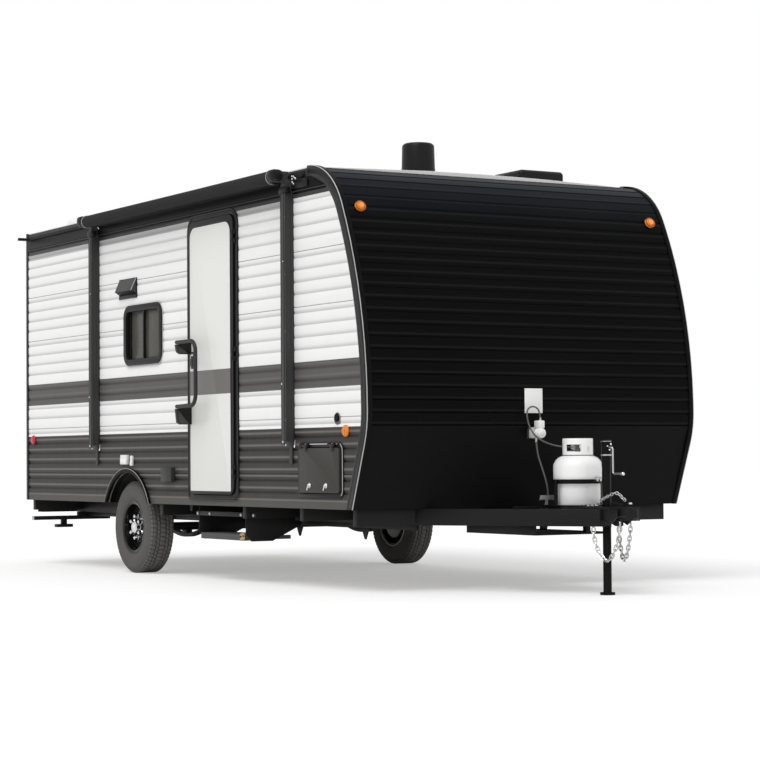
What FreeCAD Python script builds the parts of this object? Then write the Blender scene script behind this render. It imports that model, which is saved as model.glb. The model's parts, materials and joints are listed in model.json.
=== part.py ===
import FreeCAD, Part
import math
import os

import Sketcher
from FreeCAD import Placement, Rotation, Vector

# A single-axle travel caravan. X runs forward to the hitch, Y to the left-hand side
# and Z up from the ground. The entry door is in the right-hand side, at -Y.
# The origin is on the ground, under the middle of the overall length and width.

doc = FreeCAD.newDocument("Caravan")
sheet = doc.addObject("Spreadsheet::Sheet", "Sizes")

# Driving dimensions in millimetres and degrees
SIZES = {
    # Body, from the rear wall forward: axle, door, hatch and nose
    "rear_bay": 1970,
    "axle_to_door": 1396,
    "door_to_hatch": 1484,
    "hatch_to_nose": 295,
    "body_width": 2438,
    "body_bottom": 508,
    "body_top": 2640,
    "wall_thickness": 42,
    "skin_thickness": 10,
    "floor_thickness": 60,
    "roof_thickness": 70,
    "roof_crown": 25,
    "nose_height": 1100,
    "nose_radius": 2900,
    "brow_height": 269,
    "toe_radius": 550,
    "toe_angle": 21,
    # Siding
    "course_height": 349,
    "rib_pitch": 77,
    "rib_depth": 6,
    "rib_groove": 16,
    "seam_height": 1768,
    "fascia_depth": 180,
    # Chassis
    "rail_height": 102,
    "rail_flange": 45,
    "rail_web": 6,
    "rail_spacing": 1500,
    "crossmember_height": 80,
    "crossmember_width": 50,
    "outrigger_inset": 30,
    "bumper_reach": 160,
    "bumper_size": 102,
    "bumper_length": 2130,
    "bumper_wall": 5,
    # Running gear
    "tyre_diameter": 664,
    "tyre_width": 205,
    "wheel_inset": 124,
    "rim_diameter": 356,
    "rim_lip": 17,
    "rim_width": 152,
    "rim_shell": 10,
    "disc_offset": 18,
    "disc_thickness": 8,
    "disc_slots": 8,
    "slot_length": 44,
    "slot_width": 24,
    "hub_bore": 81,
    "hub_width": 90,
    "hub_cap_length": 44,
    "drum_diameter": 256,
    "drum_width": 58,
    "axle_tube": 60,
    "stub_diameter": 44,
    "spring_length": 660,
    "spring_rise": 60,
    "spring_depth": 30,
    "spring_width": 45,
    "spring_seat": 18,
    "seat_length": 80,
    "hanger_plate": 5,
    "hanger_width": 60,
    "arch_gap": 73,
    "arch_drop": 7,
    "flare_width": 30,
    "flare_proud": 22,
    "well_depth": 290,
    "well_wall": 8,
    # Windows
    "window_ahead": 275,
    "window_bottom": 1518,
    "window_length": 614,
    "window_height": 399,
    "window_corner": 70,
    "window_rim": 26,
    "window_overlap": 18,
    "window_proud": 14,
    "mullion_width": 18,
    "mullion_depth": 8,
    "pane_thickness": 5,
    "pane_setback": 15,
    "rear_window_length": 760,
    "left_window_ahead": 1480,
    # Entry door
    "door_bottom": 553,
    "door_head": 167,
    "door_length": 735,
    "door_corner": 95,
    "door_flange": 26,
    "door_lap": 13,
    "door_frame_proud": 8,
    "door_proud": 20,
    "door_thickness": 44,
    "door_gap": 6,
    "hinge_radius": 8,
    "hinge_pin": 4,
    "hinge_length": 90,
    "hinge_inset": 150,
    # Cargo hatch
    "hatch_bottom": 578,
    "hatch_length": 560,
    "hatch_height": 335,
    "hatch_corner": 45,
    "hatch_flange": 24,
    "hatch_lap": 6,
    "hatch_frame_proud": 6,
    "hatch_proud": 16,
    "hatch_thickness": 30,
    "hatch_gap": 5,
    # Mouldings and gutters
    "trim_side": 34,
    "trim_front": 30,
    "trim_thickness": 5,
    "gutter_depth": 22,
    "gutter_height": 24,
    "gutter_back": 40,
    "gutter_wall": 3,
    "gutter_drop": 62,
    "spout_reach": 95,
    "spout_width": 26,
    # Tongue
    "tongue_height": 102,
    "tongue_width": 50,
    "tongue_spread": 1440,
    "cylinder_ahead": 425,
    "jack_ahead": 288,
    "rail_lead": 47,
    "coupler_length": 245,
    "coupler_width": 96,
    "coupler_height": 80,
    "coupler_plate": 14,
    "coupler_spread": 380,
    "coupler_tail": 250,
    "ball_radius": 25.8,
    "ball_roof": 24,
    "lever_length": 80,
    "lever_width": 26,
    "lever_height": 20,
    "lever_ahead": 10,
    "latch_pad_length": 34,
    "latch_pad_width": 20,
    "latch_pad_height": 14,
    "jack_diameter": 57,
    "jack_wall": 3,
    "jack_bottom": 400,
    "jack_top": 880,
    "jack_head_height": 42,
    "jack_foot_diameter": 90,
    "jack_foot_thickness": 16,
    "jack_engaged": 60,
    "crank_radius": 6,
    "crank_drop": 140,
    "crank_reach": 90,
    "tray_length": 760,
    "tray_width": 560,
    "tray_depth": 58,
    "tray_sheet": 3,
    "tray_behind": 150,
    # Gas supply
    "cylinder_diameter": 300,
    "cylinder_height": 292,
    "shoulder_height": 78,
    "collar_diameter": 196,
    "collar_height": 108,
    "collar_wall": 4,
    "collar_slot": 90,
    "foot_ring_height": 18,
    "neck_radius": 26,
    "neck_height": 44,
    "collar_window_width": 74,
    "collar_window_height": 40,
    "collar_window_above": 34,
    "valve_length": 56,
    "valve_width": 32,
    "valve_height": 40,
    "valve_above": 36,
    "valve_wheel_radius": 21,
    "valve_wheel_height": 14,
    "carrier_sheet": 6,
    "carrier_bar": 40,
    "band_height": 26,
    "band_level": 128,
    "post_diameter": 24,
    "regulator_height": 995,
    "regulator_size": 62,
    "regulator_standoff": 34,
    "hose_diameter": 11,
    "pigtail_diameter": 10,
    # Awning
    "rear_arm_ahead": 1420,
    "awning_length": 3058,
    "arm_width": 75,
    "arm_back": 20,
    "arm_depth": 58,
    "arm_margin": 8,
    "arm_bottom": 900,
    "arm_foot": 115,
    "arm_head_width": 34,
    "arm_head_height": 70,
    "roller_diameter": 92,
    # Entry step
    "step_length": 640,
    "step_depth": 230,
    "step_height": 325,
    "step_thickness": 40,
    "step_inset": 59,
    "step_plate": 8,
    "step_runner": 26,
    "step_runner_length": 290,
    "step_side_gap": 30,
    "step_plate_drop": 50,
    "step_plate_nose": 60,
    "step_plate_toe": 40,
    "step_plate_sole": 200,
    "step_plate_heel": 28,
    "step_plate_hook": 20,
    # Roof fittings
    "antenna_behind": 421,
    "antenna_offset": 150,
    "antenna_diameter": 230,
    "antenna_height": 240,
    "antenna_edge": 18,
    "front_vent_behind": 381,
    "front_vent_offset": 700,
    "vent_size": 360,
    "vent_height": 90,
    "vent_ahead": 2900,
    "vent_offset": 350,
    "skylight_ahead": 520,
    "skylight_offset": 800,
    "skylight_size": 420,
    "skylight_height": 70,
    "conditioner_ahead": 1500,
    "conditioner_length": 720,
    "conditioner_width": 620,
    "conditioner_height": 260,
    # Lamps
    "marker_radius": 36,
    "marker_depth": 20,
    "marker_height": 984,
    "nose_lamp_height": 2350,
    "nose_lamp_inset": 119,
    "rear_marker_ahead": 150,
    "front_marker_behind": 255,
    "tail_lamp_size": 150,
    "tail_lamp_inset": 209,
    "tail_lamp_height": 905,
    "high_lamp_drop": 100,
    "tail_lamp_depth": 34,
    # Wall fittings
    "hood_height": 2010,
    "hood_length": 300,
    "hood_tall": 130,
    "hood_proud": 46,
    "hood_lip": 20,
    "outlet_above": 36,
    "outlet_behind": 85,
    "outlet_proud": 12,
    "inlet_ahead": 60,
    "inlet_proud": 10,
    "box_behind": 688,
    "box_drop": 95,
    "box_proud": 34,
    "heater_behind": 905,
    "fridge_ahead": 1014,
    "port_ahead": 196,
    "port_above": 110,
    "port_size": 62,
    "port_proud": 14,
    "outlet_size": 100,
    "cover_size": 350,
    "cover_height": 620,
    "cover_proud": 22,
    # Grab handle
    "handle_reach": 250,
    "handle_length": 520,
    "handle_bar": 24,
    "handle_bend": 110,
    "handle_standoff": 95,
    "handle_height": 1365,
    "handle_inset": 22,
    "bracket_height": 56,
    "bracket_width": 44,
    "bracket_skirt": 34,
    "lock_width": 60,
    "lock_height": 120,
    "lock_proud": 16,
    "lock_ahead": 60,
    "lock_above": 70,
    "lock_corner": 12,
    "handle_pin": 5,
    # Stabiliser jacks
    "stabiliser_length": 660,
    "stabiliser_width": 44,
    "stabiliser_inset": 39,
    "stabiliser_drop": 122,
    # Safety chains
    "chain_wire": 7,
    "link_length": 44,
    "link_width": 27,
    "chain_sag": 190,
    "chain_behind": 54,
    "hook_ahead": 135,
    "hook_offset": 38,
    "chain_drop": 50,
    # Clearances
    "pin_gap": 0.05,
    "running_gap": 0.3,
    "seat_gap": 0.3,
}


class Size:
    """A value worked out from the sheet: its number and the expression that gives it."""

    def __init__(self, number, text):
        self.number = float(number)
        self.text = text

    def joined(self, sign, other, number):
        return Size(number, f"({self.text} {sign} {as_size(other).text})")

    def __add__(self, other):
        return self.joined("+", other, self.number + as_size(other).number)

    def __sub__(self, other):
        return self.joined("-", other, self.number - as_size(other).number)

    def __mul__(self, other):
        return self.joined("*", other, self.number * as_size(other).number)

    def __truediv__(self, other):
        return self.joined("/", other, self.number / as_size(other).number)

    def __radd__(self, other):
        return as_size(other) + self

    def __rsub__(self, other):
        return as_size(other) - self

    def __rmul__(self, other):
        return as_size(other) * self

    def __neg__(self):
        return Size(-self.number, f"(0 - {self.text})")

    def __float__(self):
        return self.number


def as_size(value):
    return value if isinstance(value, Size) else Size(value, f"{float(value):.6f}")


def sine(angle):
    return Size(math.sin(math.radians(float(angle))), f"sin({angle.text} * 1deg)")


def cosine(angle):
    return Size(math.cos(math.radians(float(angle))), f"cos({angle.text} * 1deg)")


def root(value):
    return Size(math.sqrt(float(value)), f"sqrt({value.text})")


for row, (word, number) in enumerate(SIZES.items(), start=1):
    sheet.set(f"A{row}", word)
    sheet.set(f"B{row}", str(number))
    sheet.setAlias(f"B{row}", word)
doc.recompute()
size = {word: Size(sheet.get(word), f"Sizes.{word}") for word in SIZES}

parts = {}


def number(word):
    return float(size[word])


def bind(item, path, value):
    item.setExpression(path, as_size(value).text)


def place(item, spot, turn=None):
    """Puts an object at a spot whose coordinates may be sizes, with an optional turn."""
    numbers = [float(as_size(c)) for c in spot]
    item.Placement = Placement(Vector(*numbers), turn or Rotation())
    for axis, coordinate in zip("xyz", spot):
        if isinstance(coordinate, Size):
            bind(item, f".Placement.Base.{axis}", coordinate)
    return item


def keep(node, item):
    """Marks an object as the finished sub-part that a file is written for."""
    item.Label = node
    parts[node] = item
    return item


def box(name, lengths, corner):
    """A block from its lowest corner and its three lengths."""
    item = doc.addObject("Part::Box", name)
    for side, length in zip(("Length", "Width", "Height"), lengths):
        setattr(item, side, float(as_size(length)))
        bind(item, side, length)
    return place(item, corner)


def mirrored_box(name, lengths, corner, side):
    """A block given for the left-hand side, put on either side."""
    x, y, z = corner
    if side < 0:
        y = -(y + lengths[1])
    return box(name, lengths, (x, y, z))


TURNS = {
    "x": Rotation(Vector(0, 1, 0), 90),
    "y": Rotation(Vector(1, 0, 0), -90),
    "z": Rotation(),
}


def rod(name, radius, length, start, along="z"):
    """A round bar from the centre of its first end."""
    item = doc.addObject("Part::Cylinder", name)
    item.Radius = float(as_size(radius))
    item.Height = float(as_size(length))
    bind(item, "Radius", radius)
    bind(item, "Height", length)
    return place(item, start, TURNS[along])


def cone(name, first, second, length, start, along="z"):
    """A round bar that tapers from its first radius to its second."""
    item = doc.addObject("Part::Cone", name)
    item.Radius1 = float(as_size(first))
    item.Radius2 = float(as_size(second))
    item.Height = float(as_size(length))
    bind(item, "Radius1", first)
    bind(item, "Radius2", second)
    bind(item, "Height", length)
    return place(item, start, TURNS[along])


def cut(name, base, tool):
    item = doc.addObject("Part::Cut", name)
    item.Base = base
    item.Tool = tool
    return item


def fuse(name, items):
    item = doc.addObject("Part::MultiFuse", name)
    item.Shapes = items
    return item


def gather(name, items):
    """Several solids that don't touch, as one sub-part."""
    item = doc.addObject("Part::Compound", name)
    item.Links = items
    return item


def shifted(start, along, step):
    index = "xyz".index(along)
    return tuple(c + step if i == index else c for i, c in enumerate(start))


def tube(name, radius, wall, length, start, along="z"):
    """A round tube, open at both ends."""
    outer = rod(name + "Outer", radius, length, start, along)
    inner = rod(name + "Inner", radius - wall, length + 2, shifted(start, along, -1), along)
    return cut(name, outer, inner)


def edges_along(shape, axis):
    """Numbers of a shape's straight edges that run along an axis."""
    numbers = []
    for index, edge in enumerate(shape.Edges, start=1):
        if len(edge.Vertexes) == 2 and edge.Curve.TypeId == "Part::GeomLine":
            run = edge.Vertexes[1].Point - edge.Vertexes[0].Point
            if abs(abs(run.normalize().dot(axis)) - 1) < 1e-6:
                numbers.append(index)
    return numbers


def body_plane(body, role):
    return next(f for f in body.Origin.OriginFeatures if f.Role == role)


def sketch_on(body, role, name):
    sketch = body.newObject("Sketcher::SketchObject", name)
    sketch.AttachmentSupport = [(body_plane(body, role), "")]
    sketch.MapMode = "FlatFace"
    return sketch


def pin(sketch, line, end, spot):
    """Fixes a line's end at a spot in the sketch, bound to the sheet."""
    for kind, value in zip(("DistanceX", "DistanceY"), spot):
        value = as_size(value)
        rule = Sketcher.Constraint(kind, -1, 1, line, end, float(value))
        index = sketch.addConstraint(rule)
        sketch.setExpression(f"Constraints[{index}]", value.text)


def outline(sketch, corners):
    """A closed outline of straight lines through corners given as sizes."""
    count = len(corners)
    spots = [Vector(float(as_size(a)), float(as_size(b)), 0) for a, b in corners]
    for i in range(count):
        sketch.addGeometry(Part.LineSegment(spots[i], spots[(i + 1) % count]), False)
    for i in range(count):
        sketch.addConstraint(Sketcher.Constraint("Coincident", i, 2, (i + 1) % count, 1))
        pin(sketch, i, 1, corners[i])


def panel(name, role, corners, thickness, axis, corner_radius, spot):
    """A rounded panel as a body: an outline, a pad to its thickness and rounded corners."""
    body = doc.addObject("PartDesign::Body", name)
    sketch = sketch_on(body, role, name + "Outline")
    outline(sketch, corners)
    pad = body.newObject("PartDesign::Pad", name + "Pad")
    pad.Profile = sketch
    pad.Length = float(as_size(thickness))
    bind(pad, "Length", thickness)
    sketch.Visibility = False
    doc.recompute()
    fillet = body.newObject("PartDesign::Fillet", name + "Corners")
    fillet.Base = (pad, [f"Edge{i}" for i in edges_along(pad.Shape, axis)])
    fillet.Radius = float(as_size(corner_radius))
    bind(fillet, "Radius", corner_radius)
    return place(body, spot)


def shaped(node, shape):
    """A sub-part whose shape comes from Part's own functions."""
    item = doc.addObject("Part::Feature", node)
    item.Shape = shape
    return keep(node, item)


def moved(point, x=0.0, y=0.0, z=0.0):
    return Vector(point.x + x, point.y + y, point.z + z)


def prism(points, way):
    """A straight-sided solid from an outline and the vector that it is extruded along."""
    return Part.Face(Part.makePolygon(points + points[:1])).extrude(way)


def block(lengths, corner):
    return Part.makeBox(*[float(v) for v in lengths], Vector(*[float(v) for v in corner]))


def bar(radius, length, start, axis):
    return Part.makeCylinder(float(radius), float(length), start, axis)


def turned(profile, axis_y):
    """A ring about the Y axis, from its section as radius and Y pairs."""
    points = [Vector(0, axis_y * y, radius) for radius, y in profile]
    face = Part.Face(Part.makePolygon(points + points[:1]))
    return face.revolve(Vector(0, 0, 0), Vector(0, 1, 0), 360)


def rounded(shape, axis, radius):
    """Rounds every straight edge of a solid that runs along an axis."""
    chosen = [shape.Edges[i - 1] for i in edges_along(shape, axis)]
    return shape.makeFillet(radius, chosen)


# Places that many sub-parts share
gap = size["seat_gap"]
half_width = size["body_width"] / 2
body_length = (
    size["rear_bay"] + size["axle_to_door"] + size["door_to_hatch"]
    + size["hatch_length"] / 2 + size["hatch_to_nose"])
tongue_length = size["cylinder_ahead"] + size["jack_ahead"] + size["rail_lead"] + size["coupler_length"]
middle = (body_length + tongue_length - size["bumper_reach"]) / 2
rear_x = -middle
nose_x = rear_x + body_length
wheel_x = rear_x + size["rear_bay"]
door_x = wheel_x + size["axle_to_door"]
hatch_x = door_x + size["door_to_hatch"]
cylinder_x = nose_x + size["cylinder_ahead"]
jack_x = cylinder_x + size["jack_ahead"]
rails_end = jack_x + size["rail_lead"]
coupler_tip = rails_end + size["coupler_length"]
wheel_z = size["tyre_diameter"] / 2
wheel_y = half_width - size["wheel_inset"]
body_low = size["body_bottom"]
body_top = size["body_top"]
rail_top = body_low - gap
rail_low = rail_top - size["rail_height"]
skin = size["skin_thickness"]
wall = size["wall_thickness"]
wall_half = half_width - skin
inner_half = wall_half - wall


# The side outline, from the foot of the front wall up and back to the roof
toe = size["toe_angle"]
nose_sine = (body_top - size["brow_height"] - size["nose_height"]) / size["nose_radius"]
nose_cosine = root(1 - nose_sine * nose_sine)
shoulder_x = nose_x - size["nose_radius"] * (1 - nose_cosine)
brow_radius = size["brow_height"] / (1 - nose_sine)
brow_x = shoulder_x - brow_radius * nose_cosine
shin_x = nose_x - size["toe_radius"] * (1 - cosine(toe))
shin_z = size["nose_height"] - size["toe_radius"] * sine(toe)
foot_x = shin_x - (shin_z - body_low) * sine(toe) / cosine(toe)
toe_lean = math.radians(float(toe))
nose_lean = math.asin(float(nose_sine))
nose_runs = [
    ("shin", math.hypot(float(shin_x - foot_x), float(shin_z - body_low))),
    ("toe", toe_lean * number("toe_radius")),
    ("nose", nose_lean * number("nose_radius")),
    ("brow", (math.pi / 2 - nose_lean) * float(brow_radius)),
]
nose_length = sum(length for _, length in nose_runs)


def nose_point(travel, inset=0.0, y=0.0):
    """A point at a distance up the front wall's outline, moved inwards by inset."""
    for kind, length in nose_runs:
        if travel <= length or kind == "brow":
            break
        travel -= length
    if kind == "shin":
        angle = -toe_lean
        x = float(foot_x) + travel * math.sin(toe_lean)
        z = float(body_low) + travel * math.cos(toe_lean)
    elif kind == "toe":
        radius = number("toe_radius")
        angle = -toe_lean + travel / radius
        x = float(nose_x) - radius + radius * math.cos(angle)
        z = number("nose_height") + radius * math.sin(angle)
    elif kind == "nose":
        radius = number("nose_radius")
        angle = travel / radius
        x = float(nose_x) - radius + radius * math.cos(angle)
        z = number("nose_height") + radius * math.sin(angle)
    else:
        radius = float(brow_radius)
        angle = min(nose_lean + travel / radius, math.pi / 2)
        x = float(brow_x) + radius * math.cos(angle)
        z = float(body_top) - radius + radius * math.sin(angle)
    return Vector(x - inset * math.cos(angle), y, z - inset * math.sin(angle))


def nose_travel(height):
    """Distance up the front outline at which it reaches a height."""
    low, high = 0.0, nose_length
    for _ in range(50):
        halfway = (low + high) / 2
        if nose_point(halfway).z < height:
            low = halfway
        else:
            high = halfway
    return low


def nose_normal(travel):
    return (nose_point(travel, -1) - nose_point(travel, 0)).normalize()


def nose_edges(inset):
    """The front outline as a line and three tangent arcs, moved inwards by inset."""
    stops = [0.0]
    for _, length in nose_runs:
        stops.append(stops[-1] + length)
    edges = [Part.LineSegment(nose_point(stops[0], inset), nose_point(stops[1], inset)).toShape()]
    for start, end in zip(stops[1:-1], stops[2:]):
        halfway = nose_point((start + end) / 2, inset)
        edges.append(Part.Arc(nose_point(start, inset), halfway, nose_point(end, inset)).toShape())
    return edges


def nose_strip(outer_edges, inner_inset, low_y, high_y):
    """A strip between an outer line and the front outline moved inwards, across a range of Y."""
    inner_edges = nose_edges(inner_inset)
    ends = []
    for which in (0, -1):
        outer = outer_edges[which].Vertexes[which].Point
        inner = inner_edges[which].Vertexes[which].Point
        ends.append(Part.LineSegment(outer, inner).toShape())
    wire = Part.Wire(Part.__sortEdges__(outer_edges + inner_edges + ends))
    solid = Part.Face(wire).extrude(Vector(0, high_y - low_y, 0))
    solid.translate(Vector(0, low_y, 0))
    return solid


def side_outline(front_inset, start_x):
    """The side's outline as a face in the XZ plane, inside the front wall by an inset."""
    edges = nose_edges(front_inset)
    low_front = edges[0].Vertexes[0].Point
    high_front = edges[-1].Vertexes[1].Point
    bottom = float(body_low)
    foot = Vector(low_front.x - (low_front.z - bottom) * math.tan(toe_lean), 0, bottom)
    corners = [high_front, Vector(start_x, 0, high_front.z), Vector(start_x, 0, bottom), foot]
    if (foot - low_front).Length > 1e-6:
        corners.append(low_front)
    for a, b in zip(corners, corners[1:]):
        edges.append(Part.LineSegment(a, b).toShape())
    return Part.Face(Part.Wire(Part.__sortEdges__(edges)))


# Openings of the side walls, as solids that cut through them
arch_z = wheel_z - size["arch_drop"]
arch_radius = size["tyre_diameter"] / 2 + size["arch_gap"]
door_height = body_top - size["door_head"] - size["door_bottom"]
window_x = wheel_x + size["window_ahead"]
left_window_x = wheel_x + size["left_window_ahead"]


def arch(extra, low_y, high_y):
    """The round of the wheel arch, widened by an extra radius."""
    centre = Vector(float(wheel_x), low_y, float(arch_z))
    return bar(arch_radius + extra, high_y - low_y, centre, Vector(0, 1, 0))


def opening(middle_x, low_z, length, height, corner, low_y, high_y):
    """A rounded opening through a side wall."""
    start = (float(middle_x) - float(length) / 2, low_y, low_z)
    return rounded(block((length, high_y - low_y, height), start), Vector(0, 1, 0), float(corner))


def window_opening(middle_x, length, low_y, high_y):
    return opening(
        middle_x, size["window_bottom"], length, size["window_height"], size["window_corner"], low_y, high_y)


def openings(side, low_y, high_y):
    cuts = [arch(0, low_y, high_y)]
    if side > 0:
        cuts.append(window_opening(left_window_x, size["window_length"], low_y, high_y))
        return cuts
    cuts.append(window_opening(window_x, size["window_length"], low_y, high_y))
    cuts.append(opening(
        door_x, size["door_bottom"], size["door_length"], door_height, size["door_corner"], low_y, high_y))
    cuts.append(opening(
        hatch_x, size["hatch_bottom"], size["hatch_length"], size["hatch_height"], size["hatch_corner"],
        low_y, high_y))
    return cuts


# Side walls, between the front wall, the rear wall and the roof
roof_low = body_top - size["roof_thickness"]
rear_inside = rear_x + skin + wall


def side_wall(side):
    face = side_outline(float(skin + wall + gap), float(rear_inside + gap))
    solid = face.extrude(Vector(0, float(wall), 0))
    solid.translate(Vector(0, float(inner_half) if side > 0 else -float(wall_half), 0))
    over = block((20000, 20000, 20000), (-10000, -10000, roof_low - gap))
    solid = solid.cut(over)
    for cutter in openings(side, -float(half_width) - 50, float(half_width) + 50):
        if cutter.BoundBox.intersect(solid.BoundBox):
            solid = solid.cut(cutter)
    return solid


# Ribbed skins: each course of siding has its own grooves
def groove_heights(low, high):
    """Heights of the grooves between the ribs, counted from the seam between two courses."""
    seam = number("seam_height")
    while seam > low:
        seam -= number("course_height")
    heights = []
    while seam < high:
        top_seam = seam + number("course_height")
        grooves = [seam] + [top_seam - (i + 0.5) * number("rib_pitch") for i in (3, 2, 1, 0)]
        heights += [g for g in grooves if low + number("rib_pitch") / 4 < g < high - number("rib_pitch") / 4]
        seam += number("course_height")
    return heights


def ribbed_profile(outer, inward, low, top):
    """Points up a ribbed face at an outer coordinate; inward is the way into the wall."""
    points = [(outer, low)]
    half_groove = number("rib_groove") / 2
    for height in groove_heights(low, top - number("fascia_depth")):
        points.append((outer, height - half_groove))
        points.append((outer + inward * number("rib_depth"), height))
        points.append((outer, height + half_groove))
    points.append((outer, top))
    return points


def side_skin(side):
    """A side's skin of siding: ribs run the body's length, cut to its outline."""
    outer = side * float(half_width)
    inner = side * float(wall_half + gap / 2)
    low, top = float(body_low), float(body_top)
    profile = ribbed_profile(outer, -side, low, top) + [(inner, top), (inner, low)]
    start = float(rear_x)
    points = [Vector(start, y, z) for y, z in profile]
    solid = prism(points, Vector(float(body_length), 0, 0))
    clip = side_outline(float(skin + gap), start).extrude(Vector(0, 2 * outer, 0))
    solid = solid.common(clip)
    for cutter in openings(side, min(inner, outer) - 5, max(inner, outer) + 5):
        solid = solid.cut(cutter)
    return solid


for side, name in ((-1, "right"), (1, "left")):
    shaped("side_wall_" + name, side_wall(side))
    shaped("siding_" + name, side_skin(side))


# Front wall and its ribbed skin, which is smooth below the toe
front_wall = nose_strip(nose_edges(float(skin)), float(skin + wall), -float(wall_half), float(wall_half))
shaped("front_wall", front_wall)


def front_ribs():
    """The front skin's outer line, with a groove between each pair of ribs."""
    start = nose_runs[0][1]
    pitch = number("rib_pitch")
    count = int((nose_length - start - pitch) / pitch)
    points = [nose_point(0)]
    half_groove = number("rib_groove") / 2
    for i in range(1, count):
        travel = start + (i + 0.5) * pitch
        points.append(nose_point(travel - half_groove))
        points.append(nose_point(travel, number("rib_depth")))
        points.append(nose_point(travel + half_groove))
    points.append(nose_point(nose_length))
    return [Part.LineSegment(a, b).toShape() for a, b in zip(points, points[1:])]


front_half = float(wall_half - gap)
shaped("siding_front", nose_strip(front_ribs(), float(skin - gap), -front_half, front_half))


# Rear wall and its skin, with the rear window's opening
rear_length = size["rear_window_length"]
window_low = size["window_bottom"]


def rear_opening():
    cutter = block((400, rear_length, size["window_height"]), (rear_x - 100, -rear_length / 2, window_low))
    return rounded(cutter, Vector(1, 0, 0), number("window_corner"))


rear_wall = block(
    (wall, 2 * wall_half, roof_low - gap - body_low), (rear_x + skin, -wall_half, body_low))
shaped("rear_wall", rear_wall.cut(rear_opening()))
low, top = float(body_low), float(body_top)
rear_inner = float(rear_x + skin - gap)
rear_profile = ribbed_profile(float(rear_x), 1, low, top) + [(rear_inner, top), (rear_inner, low)]
rear_points = [Vector(x, -front_half, z) for x, z in rear_profile]
shaped("siding_rear", prism(rear_points, Vector(0, 2 * front_half, 0)).cut(rear_opening()))


# Roof, crowned from side to side
crown_radius = (number("roof_crown") ** 2 + float(wall_half) ** 2) / (2 * number("roof_crown"))


def roof_level(offset):
    """Height of the crowned roof at a distance from the middle."""
    return top + number("roof_crown") - crown_radius + math.sqrt(crown_radius ** 2 - offset ** 2)


def roof_slab():
    start = float(rear_x + skin)
    half = float(wall_half)
    right, left = Vector(start, -half, top), Vector(start, half, top)
    arc = Part.Arc(left, Vector(start, 0, roof_level(0)), right).toShape()
    low_right, low_left = moved(right, z=-number("roof_thickness")), moved(left, z=-number("roof_thickness"))
    corners = [right, low_right, low_left, left]
    lines = [Part.LineSegment(a, b).toShape() for a, b in zip(corners, corners[1:])]
    face = Part.Face(Part.Wire(Part.__sortEdges__([arc] + lines)))
    return face.extrude(Vector(float(brow_x - gap) - start, 0, 0))


shaped("roof", roof_slab())

# Floor, cut for the wheel wells
floor_half = float(inner_half - gap)
floor_front = float(foot_x - (skin + wall) / cosine(toe) - 1)
well_inner = float(half_width) - number("well_depth")
floor_start = float(rear_inside + gap)
floor = block(
    (floor_front - floor_start, 2 * floor_half, size["floor_thickness"]), (floor_start, -floor_half, body_low))
for side in (-1, 1):
    near, far = sorted((side * (well_inner - float(gap)), side * float(half_width)))
    floor = floor.cut(arch(size["well_wall"] + gap, near, far))
shaped("floor", floor)


# Wheel wells inside the arches, and the flares round them
def wheel_well(side):
    shell = number("well_wall")
    near, far = sorted((side * well_inner, side * float(inner_half)))
    outside = arch(size["well_wall"], near, far)
    near, far = sorted((side * (well_inner + shell), side * float(inner_half + 5)))
    solid = outside.cut(arch(0, near, far))
    return solid.cut(block((4000, 4000, 2000), (wheel_x - 2000, -2000, body_low - 2000)))


def flare(side):
    outer = half_width + gap + size["flare_proud"]
    near, far = sorted((side * float(half_width + gap), side * float(outer)))
    ring = arch(size["flare_width"], near, far).cut(arch(0, near - 5, far + 5))
    return ring.cut(block((4000, 4000, 2000), (wheel_x - 2000, -2000, body_low - 2000)))


shaped("wheel_wells", Part.makeCompound([wheel_well(side) for side in (-1, 1)]))
shaped("fender_flares", Part.makeCompound([flare(side) for side in (-1, 1)]))


# Chassis rails: channels that open inwards, from the bumper to the front member
bumper_x = rear_x - size["bumper_reach"]
rail_start = bumper_x + size["bumper_size"] + gap
member_x = foot_x - 2 * size["crossmember_width"]
rails = []
for side in (-1, 1):
    name = "RailLeft" if side > 0 else "RailRight"
    length = member_x - gap - rail_start
    inner_y = size["rail_spacing"] / 2 - size["rail_flange"] / 2
    outer = mirrored_box(
        name, (length, size["rail_flange"], size["rail_height"]), (rail_start, inner_y, rail_low), side)
    hollow = mirrored_box(
        name + "Hollow",
        (length + 2, size["rail_flange"] - size["rail_web"] + 1, size["rail_height"] - 2 * size["rail_web"]),
        (rail_start - 1, inner_y - 1, rail_low + size["rail_web"]), side)
    rails.append(cut(name + "Channel", outer, hollow))
keep("chassis_rails", gather("ChassisRails", rails))

# Crossmembers between the rails, outriggers outside them, and the front member
cross_half = size["rail_spacing"] / 2 - size["rail_flange"] / 2 - gap
outrigger_y = size["rail_spacing"] / 2 + size["rail_flange"] / 2 + gap
outrigger_reach = half_width - size["outrigger_inset"] - outrigger_y
cross_low = rail_top - size["crossmember_height"]
cross_spots = {
    "Rear": rear_inside,
    "AxleBack": wheel_x - size["spring_length"] / 2 - 3 * size["crossmember_width"],
    "AxleFront": wheel_x + size["spring_length"] / 2 + 3 * size["crossmember_width"],
    "Door": door_x + size["door_length"] / 2,
    "Hatch": hatch_x - size["hatch_length"] / 2 - size["crossmember_width"],
}
cross = []
for name, spot in cross_spots.items():
    cross.append(box(
        "Cross" + name, (size["crossmember_width"], 2 * cross_half, size["crossmember_height"]),
        (spot, -cross_half, cross_low)))
    if name == "AxleBack":
        continue
    for side in (-1, 1):
        cross.append(mirrored_box(
            f"Outrigger{name}{side + 1}",
            (size["crossmember_width"], outrigger_reach, size["crossmember_height"]),
            (spot, outrigger_y, cross_low), side))
member_half = half_width - 2 * size["outrigger_inset"]
cross.append(box(
    "FrontMember", (size["crossmember_width"], 2 * member_half, size["tongue_height"]),
    (member_x, -member_half, rail_low)))
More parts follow.
